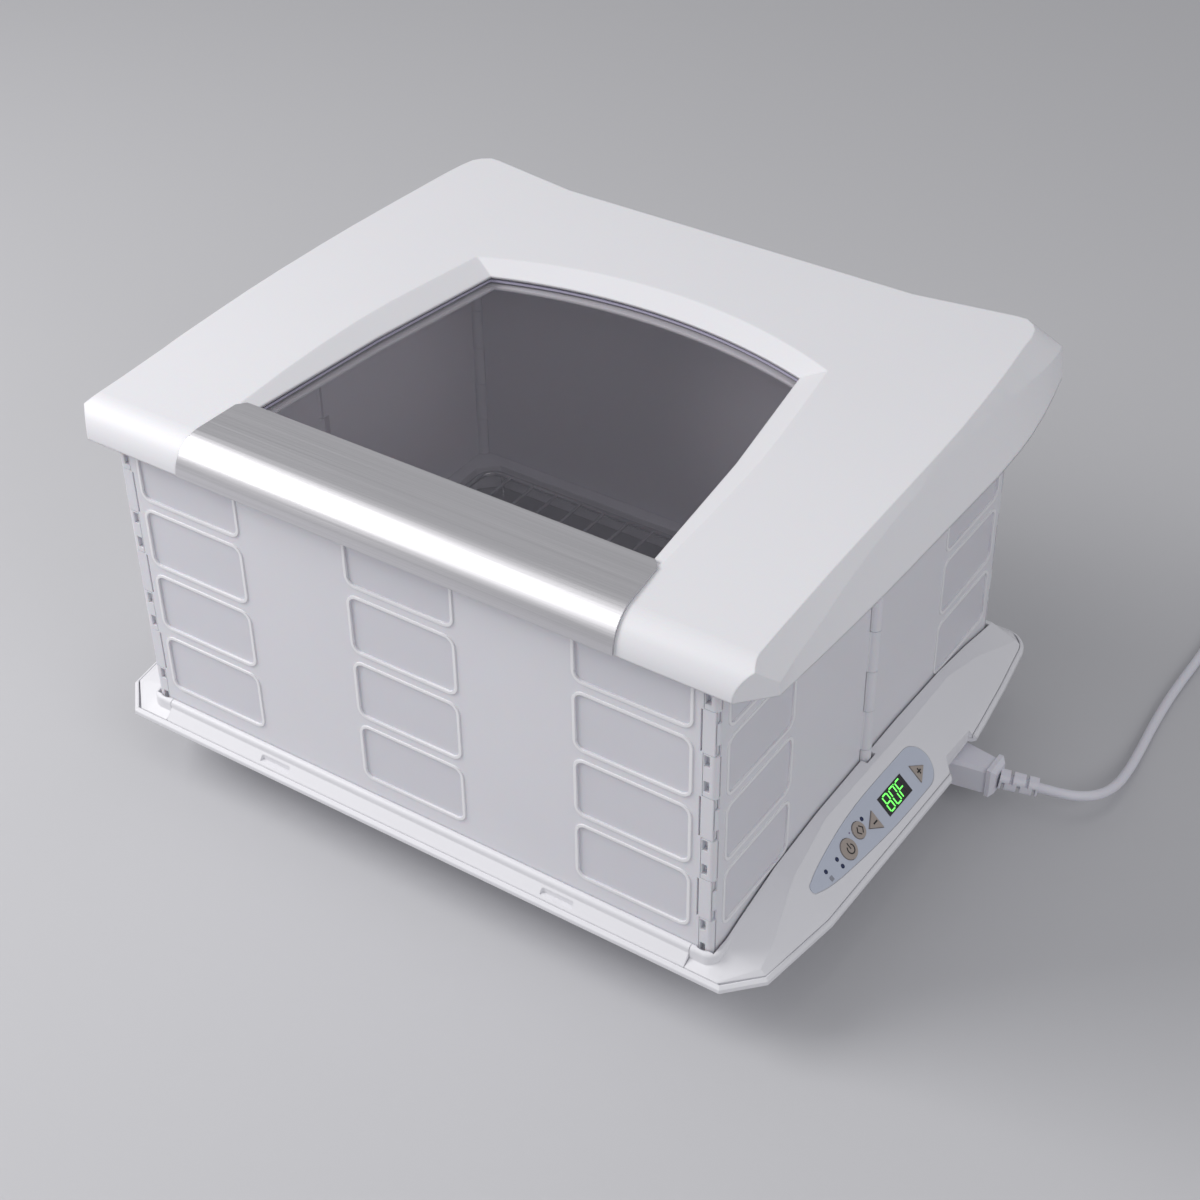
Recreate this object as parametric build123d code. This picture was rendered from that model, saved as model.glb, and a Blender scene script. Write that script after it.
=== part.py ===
from build123d import *
import math
import os

os.makedirs("parts", exist_ok=True)

# Wall frame: six panels that fold flat, open here
wall_width = 390.0
wall_depth = 330.0
wall_centre_y = -3.0
panel_height = 200.0
panel_thickness = 5.0
panel_bottom_z = 51.0
fold_gap = 0.7  # between a panel's inner face and its hinge axis
knuckle_count = 7
knuckle_gap = 0.3
knuckle_reach = 0.6  # from a mid barrel to the edge of the panel that turns round it
corner_barrel_radius = 4.2
corner_gap = 0.3  # round the corner barrels
corner_rounding = 3.0
knuckle_front = 2.4  # from the corner axis to the seam on the long panel's face
mid_barrel_radius = 4.0
pin_radius = 1.5
pin_clearance = 0.05
square_hole_width = 3.3
square_hole_height = 7.2
square_hole_depth = 3.4
square_hole_side = 0.5  # from the seam
square_hole_top = 1.0  # from the knuckle's top
square_hole_bottom = 3.2  # from the knuckle's bottom
slit_width = 1.1
slit_depth = 1.7
slit_end = 0.6
long_slit_offset = 3.75  # from the corner axis, on the long panel's face
side_slit_offset = 2.45  # from the corner axis, on the side panel's face
slot_width = 2.6
slot_height = 7.5
slot_offset = 3.5  # from the corner axis
mid_slot_width = 1.3
mid_slot_height = 16.5
mid_slot_depth = 1.5
mid_slot_reach = 1.6  # from the panel's edge at the mid hinge
mid_slot_heights = [18.0, 52.5, 70.5, 105.0, 140.0, 158.0]

# Raised borders on the panels
cell_height = 36.7
cell_pitch = 45.75
cell_rows = 4
first_cell_z = 19.0  # from the panel's bottom edge
cell_radius = 5.0
cell_depth = 0.7
bead_width = 1.8
bead_height = 0.65
front_cell_width = 68.2
front_cell_margin = 15.7
side_cell_width = 65.0
side_cell_margin = 11.0

# Base
rim_bottom_z = 43.0
rim_top_z = 47.0
rim_bevel = 1.6
rim_undercut = 3.0
rim_undercut_height = 2.0
rim_land = 2.5  # width of the housing's rim outside the cover
rim_ledge = 3.0  # width of the step that carries the cover
rim_floor_sink = 0.4
rear_rounding = [20.0, 15.0]
cover_gap = 0.3
cover_thickness = 3.0
foot_height = 3.0
foot_radius = 8.0
foot_inset_x = 60.0
foot_inset_y = 60.0
shell_wall = 2.5
tub_gap = 0.5
tub_corner = 15.0
tub_shoulder_z = 33.0
tub_waist_z = 18.0
tub_waist_inset = 4.0
tub_floor_inset = 22.0
tub_rounding = 2.0
curb_front_gap = 0.3
curb_width = 3.2
curb_height = 6.7  # above the panels' bottom edges
curb_rounding = 2.4
curb_corner = 8.0
ledge_gap = 0.3
ledge_thickness = 2.6
ledge_width = 12.0
barrel_notch = 0.8
front_strip_width = 366.0
front_strip_rise = 6.2
strip_slot_length = 21.0
strip_slot_height = 3.0
strip_slot_depth = 1.6
strip_slot_x = 100.0
slope_rise = 0.9  # rise of the side slopes for each unit inward
cover_boss_depth = 3.5
boss_gap = 0.3
screw_radius = 1.5
screw_head_radius = 3.0
screw_head_height = 1.2
screw_recess_z = 38.6
boss_foot = 2.5
boss_radius = 4.5

# Heater
plate_thickness = 2.0
plate_top_z = 33.0
plate_edge = 1.5
element_radius = 1.6
element_rows = 7
element_margin = 26.0
pad_thickness = 8.0
pad_inset = 9.0
sensor_radius = 4.0
sensor_height = 6.0
cutoff_length = 16.0
cutoff_radius = 3.0

# Water tray and rack
tray_width = 236.0
tray_depth = 158.0
tray_height = 11.0
tray_wall = 1.0
tray_lip = 5.0
tray_corner = 12.0
seat_gap = 0.3
rack_wire = 1.8
rack_rod = 1.2
rack_inset = 4.0
rack_corner = 12.0
rack_bars = 17
rack_cross_bars = 2
rack_top_gap = 0.7  # below the panels' bottom edges

# Controls, on the right slope
control_y = -0.4
control_from_rim = 3.6
overlay_thickness = 0.4
overlay_gap = 0.3
overlay_length_rear = 18.0
overlay_radius = 13.0
overlay_centre_v = -12.5
overlay_tip_u = -98.0
overlay_tip_half = 3.2
display_length = 26.3
display_width = 12.3
display_u = -8.5
display_v = -11.9
display_depth = 2.0
digit_height = 9.6
digit_width = 4.8
digit_pitch = 7.3
digit_slant = 0.12
segment_width = 0.75
segment_thickness = 0.15
power_radius = 6.1
power_u = -61.3
power_v = -11.9
mode_radius = 5.0
mode_u = -46.9
mode_v = -14.6
arrow_length = 9.4
arrow_half = 5.9
plus_u = 14.0
minus_u = -30.6
arrow_v = -10.6
button_proud = 0.9
button_travel = 0.8
button_gap = 0.3
button_depth = 3.6
lamp_radius = 1.3
board_gap = 7.0
board_thickness = 1.6
board_length = 108.0
board_width = 17.0
switch_size = 4.0

# Lid
lid_bottom_z = 241.0
lid_front_y = -177.0
lid_rear_y = 181.0
lid_front_corner_x = 207.0
lid_front_corner_y = -159.5
lid_rear_x = 212.5
lid_rear_corner_y = 171.0
lid_roll_radius = 19.5
lid_rear_dip = 9.7
lid_rear_dip_x = 121.0
lid_rear_dip_run = 62.0
lid_skin = 2.2
lid_lip_gap = 1.5
lid_lip_width = 2.0
lid_lip_depth = 8.0
liner_gap = 0.3
liner_thickness = 2.0
liner_inset = 3.0
window_front_y = -123.2
window_front_half = 128.5
window_mid_y = -27.0
window_mid_half = 119.5
window_rear_y = 64.5
window_rear_half = 106.0
window_apex_y = 82.4
window_surround = 15.0  # width of the slope round the window, at the lid's highest
window_front_slope = 7.4
window_drop = 3.6
pane_thickness = 2.2
pane_gap = 0.25
pane_flange = 5.0
inner_pane_thickness = 1.4
gasket_width = 3.0
handle_rear_half = 136.5
handle_front_half = 141.0
handle_thickness = 1.2
handle_standoff = 0.2
handle_bevel = 4.0
handle_corner = 8.0

# Mains lead
inlet_y = 68.0
inlet_z = 28.0
inlet_face_x = 212.0
inlet_depth = 20.0
inlet_width = 30.0
inlet_height = 24.0
inlet_gap = 0.2
plug_clearance = 0.4
connector_width = 22.0
connector_height = 18.0
connector_nose = 17.0
connector_body = 34.0
connector_gap = 0.3  # between the grip and the inlet's face
grip_width = 26.0
grip_end_width = 15.4
grip_chamfer = 2.0
collar_length = 5.5
collar_grow = 1.0
collar_slope = 2.6
inlet_pin_width = 4.0
inlet_pin_thickness = 2.0
inlet_pin_length = 14.0
notch_x = 226.5
notch_outer_x = 245.0
notch_front_y = 43.0
notch_rear_y = 74.0
notch_front_flare = 1.0  # run along Y for each unit outward
notch_rear_flare = 0.1
notch_wall = 2.5
plug_room_side = 2.0
plug_room_top = 1.0
cord_diameter = 6.0
relief_length = 23.0
relief_turn = 19.0
relief_drop = 6.0
relief_width = 10.6
relief_end_width = 9.8
relief_corner = 3.0
relief_slits = 5
relief_slit_width = 1.9
relief_low_reach = 1.6  # how far above the middle the slits from below go
relief_high_reach = 1.2
coil_turn_radius = 33.0
coil_layers = 3
coil_strands = 2
tie_width = 5.0
tie_thickness = 1.2
mains_plug_length = 34.0
mains_plug_width = 26.0
mains_plug_height = 18.0
blade_length = 17.5
blade_width = 6.3
blade_thickness = 1.5
blade_spacing = 12.7
ground_radius = 2.4
ground_length = 20.0

# Boards inside the base
power_board_length = 92.0
power_board_width = 30.0
transformer_size = 20.0
capacitor_radius = 6.0
capacitor_height = 9.0
relay_size = 15.0
wire_radius = 0.9
wire_inlet_drop = 6.0  # from the inlet's middle to the wires
wire_side = 2.5
wire_bend_drop = 6.5

wall_x = wall_width / 2
wall_front_y = wall_centre_y - wall_depth / 2
wall_rear_y = wall_centre_y + wall_depth / 2
panel_top_z = panel_bottom_z + panel_height
corner_inset = panel_thickness + fold_gap
corner_axis_x = wall_x - corner_inset
front_axis_y = wall_front_y + corner_inset
rear_axis_y = wall_rear_y - corner_inset
mid_axis_x = wall_x + fold_gap
knuckle_height = panel_height / knuckle_count
corner_sweep = (corner_inset - corner_rounding) * math.sqrt(2) + corner_rounding + corner_gap
curb_gap = corner_sweep - corner_inset  # lets the side panels' ends pass as they turn

# Plan of the base's rim, right half, from the front corner to the rear corner
rim_front_y = -179.5
rim_rear_y = 178.5
rim_corner_x = 206.6
rim_rear_x = 210.0
rim_side = [(225.0, -160.0), (233.0, -105.0), (235.6, 35.0), (230.0, 90.0), (225.7, 126.0), (219.5, 168.0)]

# Cover's section at stations along Y: (y, height at the wall, height at the crease)
cover_stations = [
    (-158.0, 57.0, 50.0),
    (-140.0, 61.5, 54.5),
    (-105.0, 69.0, 67.0),
    (-60.0, 72.5, 72.5),
    (35.0, 72.5, 72.5),
    (90.0, 70.0, 69.0),
    (126.0, 65.0, 62.0),
    (150.0, 60.0, 54.5),
    (166.0, 57.0, 50.0),
]

# Lid's section at stations along Y: (y, x at the skirt's foot, x and z at the fold, x and z at the top)
lid_stations = [
    (-185.0, 222.0, 222.5, 246.0, 211.5, 261.2),
    (-160.0, 223.0, 222.8, 249.0, 211.0, 261.2),
    (-140.0, 224.2, 221.0, 251.4, 210.5, 262.0),
    (-114.0, 225.8, 219.8, 254.6, 210.3, 263.1),
    (-90.0, 227.0, 218.0, 257.8, 210.0, 264.1),
    (-60.0, 228.2, 216.2, 260.2, 209.9, 265.0),
    (-30.0, 229.0, 214.8, 261.9, 209.7, 265.5),
    (0.0, 229.5, 214.0, 262.5, 209.5, 265.9),
    (30.0, 230.3, 213.6, 262.0, 209.0, 265.8),
    (60.0, 231.0, 213.6, 261.0, 208.0, 265.6),
    (90.0, 230.2, 213.7, 259.7, 206.2, 265.5),
    (107.0, 229.0, 214.0, 258.7, 205.0, 265.5),
    (130.0, 226.0, 214.3, 257.3, 203.0, 265.5),
    (150.0, 222.5, 214.8, 255.9, 200.8, 265.5),
    (163.0, 219.8, 214.4, 255.4, 200.0, 265.5),
    (172.0, 217.9, 214.0, 255.0, 198.0, 265.5),
    (177.0, 216.8, 213.0, 254.8, 194.5, 265.5),
    (185.0, 215.0, 211.0, 254.4, 183.5, 265.5),
]


def save(shape, name):
    export_step(shape, "parts/" + name + ".step")


def box(x0, x1, y0, y1, z0, z1):
    return Pos((x0 + x1) / 2, (y0 + y1) / 2, (z0 + z1) / 2) * Box(abs(x1 - x0), abs(y1 - y0), abs(z1 - z0))


def rod(x, y, z0, z1, radius):
    return Pos(x, y, (z0 + z1) / 2) * Cylinder(radius, z1 - z0)


def prism(points, z0, z1):
    face = Face(Wire(Polyline(*points, close=True)))
    return extrude(Pos(0, 0, z0) * face, z1 - z0)


def mirrored(right):
    return right + [(-x, y) for x, y in reversed(right)]


def along(value, table, column):
    """Value of a column of the table at a place along Y."""
    if value <= table[0][0]:
        return table[0][column]
    for low, high in zip(table, table[1:]):
        if value <= high[0]:
            share = (value - low[0]) / (high[0] - low[0])
            return low[column] + share * (high[column] - low[column])
    return table[-1][column]


# ---- base ----

def inset_polygon(points, inset):
    """A closed outline with every edge moved inward by the same distance."""
    count = len(points)
    moved = []
    for index in range(count):
        (ax, ay), (bx, by), (cx, cy) = points[index - 1], points[index], points[(index + 1) % count]
        first = Vector(bx - ax, by - ay).normalized()
        second = Vector(cx - bx, cy - by).normalized()
        normal = Vector(-first.Y - second.Y, first.X + second.X).normalized()
        reach = inset / (-normal.X * first.Y + normal.Y * first.X)
        moved.append((bx + normal.X * reach, by + normal.Y * reach))
    return moved


def rounded(points, index, radius, steps=4):
    """The outline with one corner drawn as short chords of an arc."""
    (ax, ay), (bx, by), (cx, cy) = points[index - 1], points[index], points[(index + 1) % len(points)]
    first = Vector(ax - bx, ay - by).normalized()
    second = Vector(cx - bx, cy - by).normalized()
    half = math.acos(first.X * second.X + first.Y * second.Y) / 2
    reach = radius / math.tan(half)
    bisector = (first + second).normalized()
    centre = bisector * (radius / math.sin(half))
    start = first * reach - centre
    turn = math.pi - 2 * half
    if start.X * (second.Y * reach - centre.Y) - start.Y * (second.X * reach - centre.X) < 0:
        turn = -turn
    arc = []
    for step in range(steps + 1):
        angle = turn * step / steps
        x = start.X * math.cos(angle) - start.Y * math.sin(angle)
        y = start.X * math.sin(angle) + start.Y * math.cos(angle)
        arc.append((bx + centre.X + x, by + centre.Y + y))
    return points[:index] + arc + points[index + 1:]


def whole_outline(right, inset, radii):
    """A closed outline from its right half, inset, with its last two corners rounded on both sides."""
    points = inset_polygon(mirrored(right), inset)
    last = len(right) - 1
    places = [(last - 1, radii[0]), (last, radii[1]), (last + 1, radii[1]), (last + 2, radii[0])]
    for index, radius in reversed(places):
        points = rounded(points, index, radius)
    return points


def rim_outline(inset):
    right = [(rim_corner_x, rim_front_y)] + rim_side + [(rim_rear_x, rim_rear_y)]
    return whole_outline(right, inset, [radius - inset for radius in rear_rounding])


def tub_outline(inset):
    """The tub's plan, with a place for each place of the rim's."""
    front = well_front_y - shell_wall - tub_gap - shell_wall
    rear = well_rear_y + shell_wall + tub_gap + shell_wall
    side = well_x + shell_wall + tub_gap + shell_wall
    right = [(side - tub_corner, front), (side, front + tub_corner)]
    right += [(side, y) for x, y in rim_side[1:-1]]
    right += [(side, rear - tub_corner), (side - tub_corner, rear)]
    return whole_outline(right, inset, [tub_rounding, tub_rounding])


def hull(levels):
    """A solid through outlines at heights: (kind of outline, inset, z)."""
    wires = []
    for outline, inset, z in levels:
        wires.append(Wire(Polyline(*[(x, y, z) for x, y in outline(inset)], close=True)))
    return Solid.make_loft(wires, ruled=True)


def rim_x(y):
    return along(y, [(b, a) for a, b in rim_side], 1)


def cover_solid(skin):
    """The cover's body, or its hollow when skin is over 0."""
    edge = rim_land + cover_gap + skin
    base_z = rim_top_z - cover_thickness
    low = base_z - (2 * skin if skin else 0)
    wires = []
    rows = [(rim_front_y + edge, rim_top_z, rim_top_z)]
    rows += cover_stations
    rows += [(rim_rear_y - edge, rim_top_z, rim_top_z)]
    for index, (y, wall_z, crease_z) in enumerate(rows):
        last = index in (0, len(rows) - 1)
        corner = rim_corner_x if index == 0 else rim_rear_x
        rim = (corner if last else rim_x(y)) - edge
        top = rim_top_z - skin
        crease = rim - max(crease_z - rim_top_z, 0.6) / slope_rise
        right = [
            (rim, low),
            (rim, top),
            (crease, max(crease_z - skin, top + 0.05)),
            (wall_x + curb_gap, max(wall_z - skin, top + 0.1)),
        ]
        loop = right + [(-x, z) for x, z in reversed(right)]
        wires.append(Wire(Polyline(*[(x, y, z) for x, z in loop], close=True)))
    plan = hull([(rim_outline, rim_land + cover_gap + skin, 0.0), (rim_outline, rim_land + cover_gap + skin, 100.0)])
    return Solid.make_loft(wires, ruled=True) & plan


well_x = wall_x - panel_thickness - ledge_width + 3.0
well_front_y = wall_front_y + panel_thickness + ledge_width - 3.0
well_rear_y = wall_rear_y - panel_thickness - ledge_width + 3.0
ledge_top_z = panel_bottom_z - ledge_gap
curb_x = wall_x + curb_gap
curb_front_y = wall_front_y - curb_front_gap
curb_rear_y = wall_rear_y + curb_front_gap


def barrel_reach():
    return mid_axis_x + mid_barrel_radius + barrel_notch


def curb_ring(grow, z0, z1):
    return box(-curb_x - grow, curb_x + grow, curb_front_y - grow, curb_rear_y + grow, z0, z1)


def tub_block(inset, z0, z1):
    return prism(tub_outline(inset), z0, z1)


def make_curb():
    """The bead round the foot of the walls."""
    curb = curb_ring(curb_width, rim_top_z, panel_bottom_z + curb_height)
    curb = fillet(curb.edges().filter_by(Axis.Z), curb_corner)
    return fillet(curb.edges().group_by(Axis.Z)[-1], curb_rounding)


def notch(grow, z0, z1):
    """The bay cut into the rim over the lead, wider outside than inside."""
    x0 = notch_x - grow
    front = notch_front_y - grow
    rear = notch_rear_y + grow
    run = notch_outer_x - x0
    points = [(x0, front), (notch_outer_x, front - notch_front_flare * run),
              (notch_outer_x, rear + notch_rear_flare * run), (x0, rear)]
    return prism(points, z0, z1)


def make_cover():
    body = cover_solid(0)
    hollow = cover_solid(cover_thickness)
    keep_x = barrel_reach() + 2.0
    inner = box(-keep_x, keep_x, curb_front_y - curb_width, curb_rear_y + curb_width, 0, panel_top_z)
    body -= hollow - inner
    body += notch(notch_wall, rim_top_z - cover_thickness, panel_top_z) & cover_solid(0)
    body += make_curb()
    body -= curb_ring(0, ledge_top_z, panel_top_z)
    for x in (-corner_axis_x, corner_axis_x):
        for y in (front_axis_y, rear_axis_y):
            body -= rod(x, y, ledge_top_z, panel_top_z, corner_sweep)
    under = curb_ring(-0.01, 0, ledge_top_z - ledge_thickness)
    body -= under
    for side in (-1, 1):
        reach = barrel_reach()
        half = mid_barrel_radius + barrel_notch
        low, high = sorted((side * wall_x, side * reach))
        body -= box(low, high, wall_centre_y - half, wall_centre_y + half, ledge_top_z, panel_top_z)
    body += tub_block(shell_wall + tub_gap, plate_top_z + seat_gap, ledge_top_z - ledge_thickness)
    body -= tub_block(2 * shell_wall + tub_gap, 0, panel_top_z)
    body -= notch(0, 0, panel_top_z)
    strip_half = front_strip_width / 2 + cover_gap
    body -= box(-strip_half, strip_half, rim_front_y, curb_front_y, 0, panel_top_z)
    body -= control_cuts()
    for x, y in screw_places():
        body += rod(x, y, rim_top_z - cover_thickness - cover_boss_depth, rim_top_z - 1, boss_radius)
        body -= rod(x, y, 0, rim_top_z - cover_thickness, screw_radius + 0.02)
    return biggest(body)


def biggest(shape):
    """The shape's largest solid, without stray slivers."""
    return max(shape.solids(), key=lambda piece: piece.volume)


def screw_places():
    x = rim_rear_x - 2
    return [(-x, -140.0), (x, -140.0), (-x, 140.0), (x, 140.0), (-x, 0.0)]


def make_front_strip():
    """The long strip in front of the walls, with the bead along its back."""
    strip_half = front_strip_width / 2
    edge = rim_land + cover_gap
    back = curb_front_y
    bead = back - curb_width
    front = rim_front_y + edge
    low = rim_top_z - cover_thickness
    profile = [(front, low), (front, rim_top_z), (bead, rim_top_z + front_strip_rise), (back, rim_top_z + front_strip_rise),
               (back, low)]
    wire = Wire(Polyline(*[(-strip_half, y, z) for y, z in profile], close=True))
    strip = extrude(Face(wire), strip_half * 2, dir=(1, 0, 0))
    ridge = box(-strip_half, strip_half, bead, back, low, panel_bottom_z + curb_height)
    strip += fillet(ridge.edges().filter_by(Axis.X).group_by(Axis.Z)[-1].sort_by(Axis.Y)[0], curb_rounding)
    middle_y = (front + bead) / 2
    for side in (-1, 1):
        x = side * strip_slot_x
        slot_z = rim_top_z + front_strip_rise / 2
        slot = Pos(x, middle_y, slot_z) * Box(strip_slot_length, strip_slot_height, 2 * strip_slot_depth)
        strip -= fillet(slot.edges().filter_by(Axis.Z), strip_slot_height * 0.35)
    return strip


def make_housing():
    """A tub that widens into a thin rim; the inlet sits in a bay on its right side."""
    floor = foot_height
    step = rim_land + rim_ledge
    outer = hull([(tub_outline, tub_floor_inset, floor), (tub_outline, tub_waist_inset, tub_waist_z),
                  (tub_outline, 0.0, tub_shoulder_z), (rim_outline, rim_undercut, rim_bottom_z - rim_undercut_height),
                  (rim_outline, 0.0, rim_bottom_z), (rim_outline, 0.0, rim_top_z - rim_bevel),
                  (rim_outline, rim_bevel, rim_top_z)])
    inner = hull([(tub_outline, tub_floor_inset + shell_wall, floor + shell_wall),
                  (tub_outline, tub_waist_inset + shell_wall, tub_waist_z + 1.0),
                  (tub_outline, shell_wall, tub_shoulder_z), (tub_outline, shell_wall, tub_shoulder_z + shell_wall),
                  (rim_outline, step, rim_bottom_z - rim_floor_sink), (rim_outline, step, rim_top_z + 1)])
    rebate = hull([(rim_outline, rim_land, rim_top_z - cover_thickness - 0.1), (rim_outline, rim_land, rim_top_z + 1)])
    half = inlet_width / 2 + 2 * shell_wall
    low = inlet_z - inlet_height / 2 - shell_wall
    bay = box(plate_x, inlet_face_x, inlet_y - half, inlet_y + half, low, rim_bottom_z - 1.0)
    bay_hollow = box(plate_x - 2 * shell_wall, inlet_face_x - shell_wall, inlet_y - half + shell_wall,
                     inlet_y + half - shell_wall, low + shell_wall, rim_bottom_z + 1.0)
    notch_top = rim_top_z - cover_thickness - 0.1
    body = outer + bay - inner - bay_hollow - rebate
    body += notch(notch_wall, rim_bottom_z - rim_undercut_height, notch_top) & outer
    body -= notch(0, 0, panel_top_z)
    room = grip_width / 2 + plug_room_side
    room_top = inlet_z + connector_height / 2 + plug_room_top
    body -= box(inlet_face_x, 2 * wall_x, inlet_y - room, inlet_y + room, low, room_top)
    seat_y = inlet_width / 2 + inlet_gap
    seat_z = inlet_height / 2 + inlet_gap
    body -= box(inlet_face_x - 2 * shell_wall, inlet_face_x + 1, inlet_y - seat_y, inlet_y + seat_y,
                inlet_z - seat_z, inlet_z + seat_z)
    boss_top = rim_top_z - cover_thickness - cover_boss_depth - boss_gap
    for x, y in screw_places():
        body += rod(x, y, screw_recess_z - boss_foot, boss_top, boss_radius)
        body -= rod(x, y, 0, screw_recess_z, screw_head_radius + boss_gap)
        body -= rod(x, y, 0, rim_top_z, screw_radius + boss_gap)
    return biggest(body)


def foot_places():
    x = rim_rear_x - foot_inset_x
    y0 = rim_front_y + foot_inset_y
    y1 = rim_rear_y - foot_inset_y
    return {"front_left_foot": (-x, y0), "front_right_foot": (x, y0),
            "rear_left_foot": (-x, y1), "rear_right_foot": (x, y1)}


def make_foot(x, y):
    foot = rod(x, y, 0, foot_height, foot_radius)
    return fillet(foot.edges().group_by(Axis.Z)[0], 1.0)


def make_screws():
    screws = []
    for x, y in screw_places():
        shank = rod(x, y, screw_recess_z - screw_head_height, rim_top_z - cover_thickness - 0.3, screw_radius)
        screws.append(shank + rod(x, y, screw_recess_z - screw_head_height, screw_recess_z, screw_head_radius))
    return Compound(children=screws)


# ---- heater ----

plate_x = well_x + shell_wall - plate_edge
plate_front_y = well_front_y - shell_wall + plate_edge
plate_rear_y = well_rear_y + shell_wall - plate_edge


def make_plate():
    return tub_block(shell_wall + tub_gap + plate_edge, plate_top_z - plate_thickness, plate_top_z)


def make_element():
    """A rod bent to and fro under the plate."""
    z = plate_top_z - plate_thickness - element_radius
    span = plate_x - element_margin
    low = plate_front_y + element_margin
    pitch = (plate_rear_y - plate_front_y - 2 * element_margin) / (element_rows - 1)
    points = []
    for row in range(element_rows):
        ends = (-span, span) if row % 2 == 0 else (span, -span)
        points += [(ends[0], low + row * pitch, z), (ends[1], low + row * pitch, z)]
    path = FilletPolyline(*points, radius=pitch * 0.45)
    section = Plane(points[0], z_dir=(1, 0, 0)) * Circle(element_radius)
    return sweep(section, path=path)


def make_pad():
    top = plate_top_z - plate_thickness - 2 * element_radius - 0.2
    return tub_block(shell_wall + tub_gap + plate_edge + pad_inset, top - pad_thickness, top)


def make_sensor():
    top = plate_top_z - plate_thickness - 0.1
    y = (plate_front_y + plate_rear_y) / 2
    pitch = (plate_rear_y - plate_front_y - 2 * element_margin) / (element_rows - 1)
    return rod(40, y + pitch / 2, top - 2 * element_radius, top, sensor_radius)


def make_cutoff():
    top = plate_top_z - plate_thickness - 0.1
    y = (plate_front_y + plate_rear_y) / 2
    pitch = (plate_rear_y - plate_front_y - 2 * element_margin) / (element_rows - 1)
    half = min(cutoff_radius, element_radius)
    return Pos(-40, y + pitch / 2, top - half) * Rot(0, 90, 0) * Cylinder(half, cutoff_length)


# ---- tray and rack ----

def make_tray():
    bottom = plate_top_z + seat_gap
    outer = Pos(0, wall_centre_y, bottom + tray_height / 2) * Box(tray_width, tray_depth, tray_height)
    outer = fillet(outer.edges().filter_by(Axis.Z), tray_corner)
    lip = Pos(0, wall_centre_y, bottom + tray_height - tray_wall / 2)
    lip = lip * Box(tray_width + 2 * tray_lip, tray_depth + 2 * tray_lip, tray_wall)
    lip = fillet(lip.edges().filter_by(Axis.Z), tray_corner + tray_lip)
    inside = Pos(0, wall_centre_y, bottom + tray_wall + tray_height / 2)
    inside = inside * Box(tray_width - 2 * tray_wall, tray_depth - 2 * tray_wall, tray_height)
    inside = fillet(inside.edges().filter_by(Axis.Z), tray_corner - tray_wall)
    return outer + lip - inside


def make_rack():
    """A bent wire frame with rods welded across it, on four legs."""
    z = panel_bottom_z - rack_top_gap - rack_wire
    half_x = well_x - rack_inset - rack_wire
    front = well_front_y + rack_inset + rack_wire
    rear = well_rear_y - rack_inset - rack_wire
    middle = (front + rear) / 2
    depth = rear - front
    outside = Pos(0, middle, z) * Box(2 * (half_x + rack_wire), depth + 2 * rack_wire, 2 * rack_wire)
    inside = Pos(0, middle, z) * Box(2 * (half_x - rack_wire), depth - 2 * rack_wire, 4 * rack_wire)
    rack = fillet(outside.edges().filter_by(Axis.Z), rack_corner + rack_wire)
    rack -= fillet(inside.edges().filter_by(Axis.Z), rack_corner - rack_wire)
    rack = fillet(rack.edges().filter_by(Plane.XY), rack_wire * 0.8)
    for index in range(1, rack_cross_bars + 1):
        y = front + depth * index / (rack_cross_bars + 1)
        rack += Pos(0, y, z - 0.3) * Rot(0, 90, 0) * Cylinder(rack_rod, 2 * half_x)
    for index in range(rack_bars):
        x = -half_x + 2 * half_x * (index + 1) / (rack_bars + 1)
        rack += Pos(x, middle, z + 0.4) * Rot(90, 0, 0) * Cylinder(rack_rod, depth)
    leg_x = half_x - rack_corner
    for x in (-leg_x, leg_x):
        for y in (front, rear):
            rack += rod(x, y, plate_top_z + seat_gap, z, rack_rod)
    return rack


# ---- folding walls ----

def rounded_cell(width, height, depth, radius):
    cell = Box(width, depth, height)
    return fillet(cell.edges().filter_by(Axis.Y), radius)


def add_cells(panel, centre_x, width):
    """Rows of shallow recesses with a raised border, on the face at y = 0."""
    for row in range(cell_rows):
        z = first_cell_z + cell_height / 2 + row * cell_pitch
        place = Pos(centre_x, 0, z)
        border = rounded_cell(width + 2 * bead_width, cell_height + 2 * bead_width, 2 * bead_height,
                              cell_radius + bead_width)
        panel += place * border
        panel -= place * rounded_cell(width, cell_height, 2 * cell_depth, cell_radius)
    return panel


def level_span(index):
    low = index * knuckle_height + (knuckle_gap / 2 if index else 0)
    high = (index + 1) * knuckle_height - (knuckle_gap / 2 if index < knuckle_count - 1 else 0)
    return low, high


def levels(even):
    return [index for index in range(knuckle_count) if (index % 2 == 0) == even]


def mid_knuckles(axis_x, axis_y, body_x, even):
    """Round barrels on the mid axis, each joined to the panel by an arm."""
    result = None
    for index in levels(even):
        low, high = level_span(index)
        piece = rod(axis_x, axis_y, low, high, mid_barrel_radius)
        piece += box(axis_x, body_x, 0, panel_thickness, low, high)
        result = piece if result is None else result + piece
    return result


def corner_socket(x, index, reach):
    """Room for the other panel's barrel at one level."""
    low, high = level_span(index)
    return rod(x, corner_inset, low - reach, high + reach, corner_barrel_radius + corner_gap)


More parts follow.
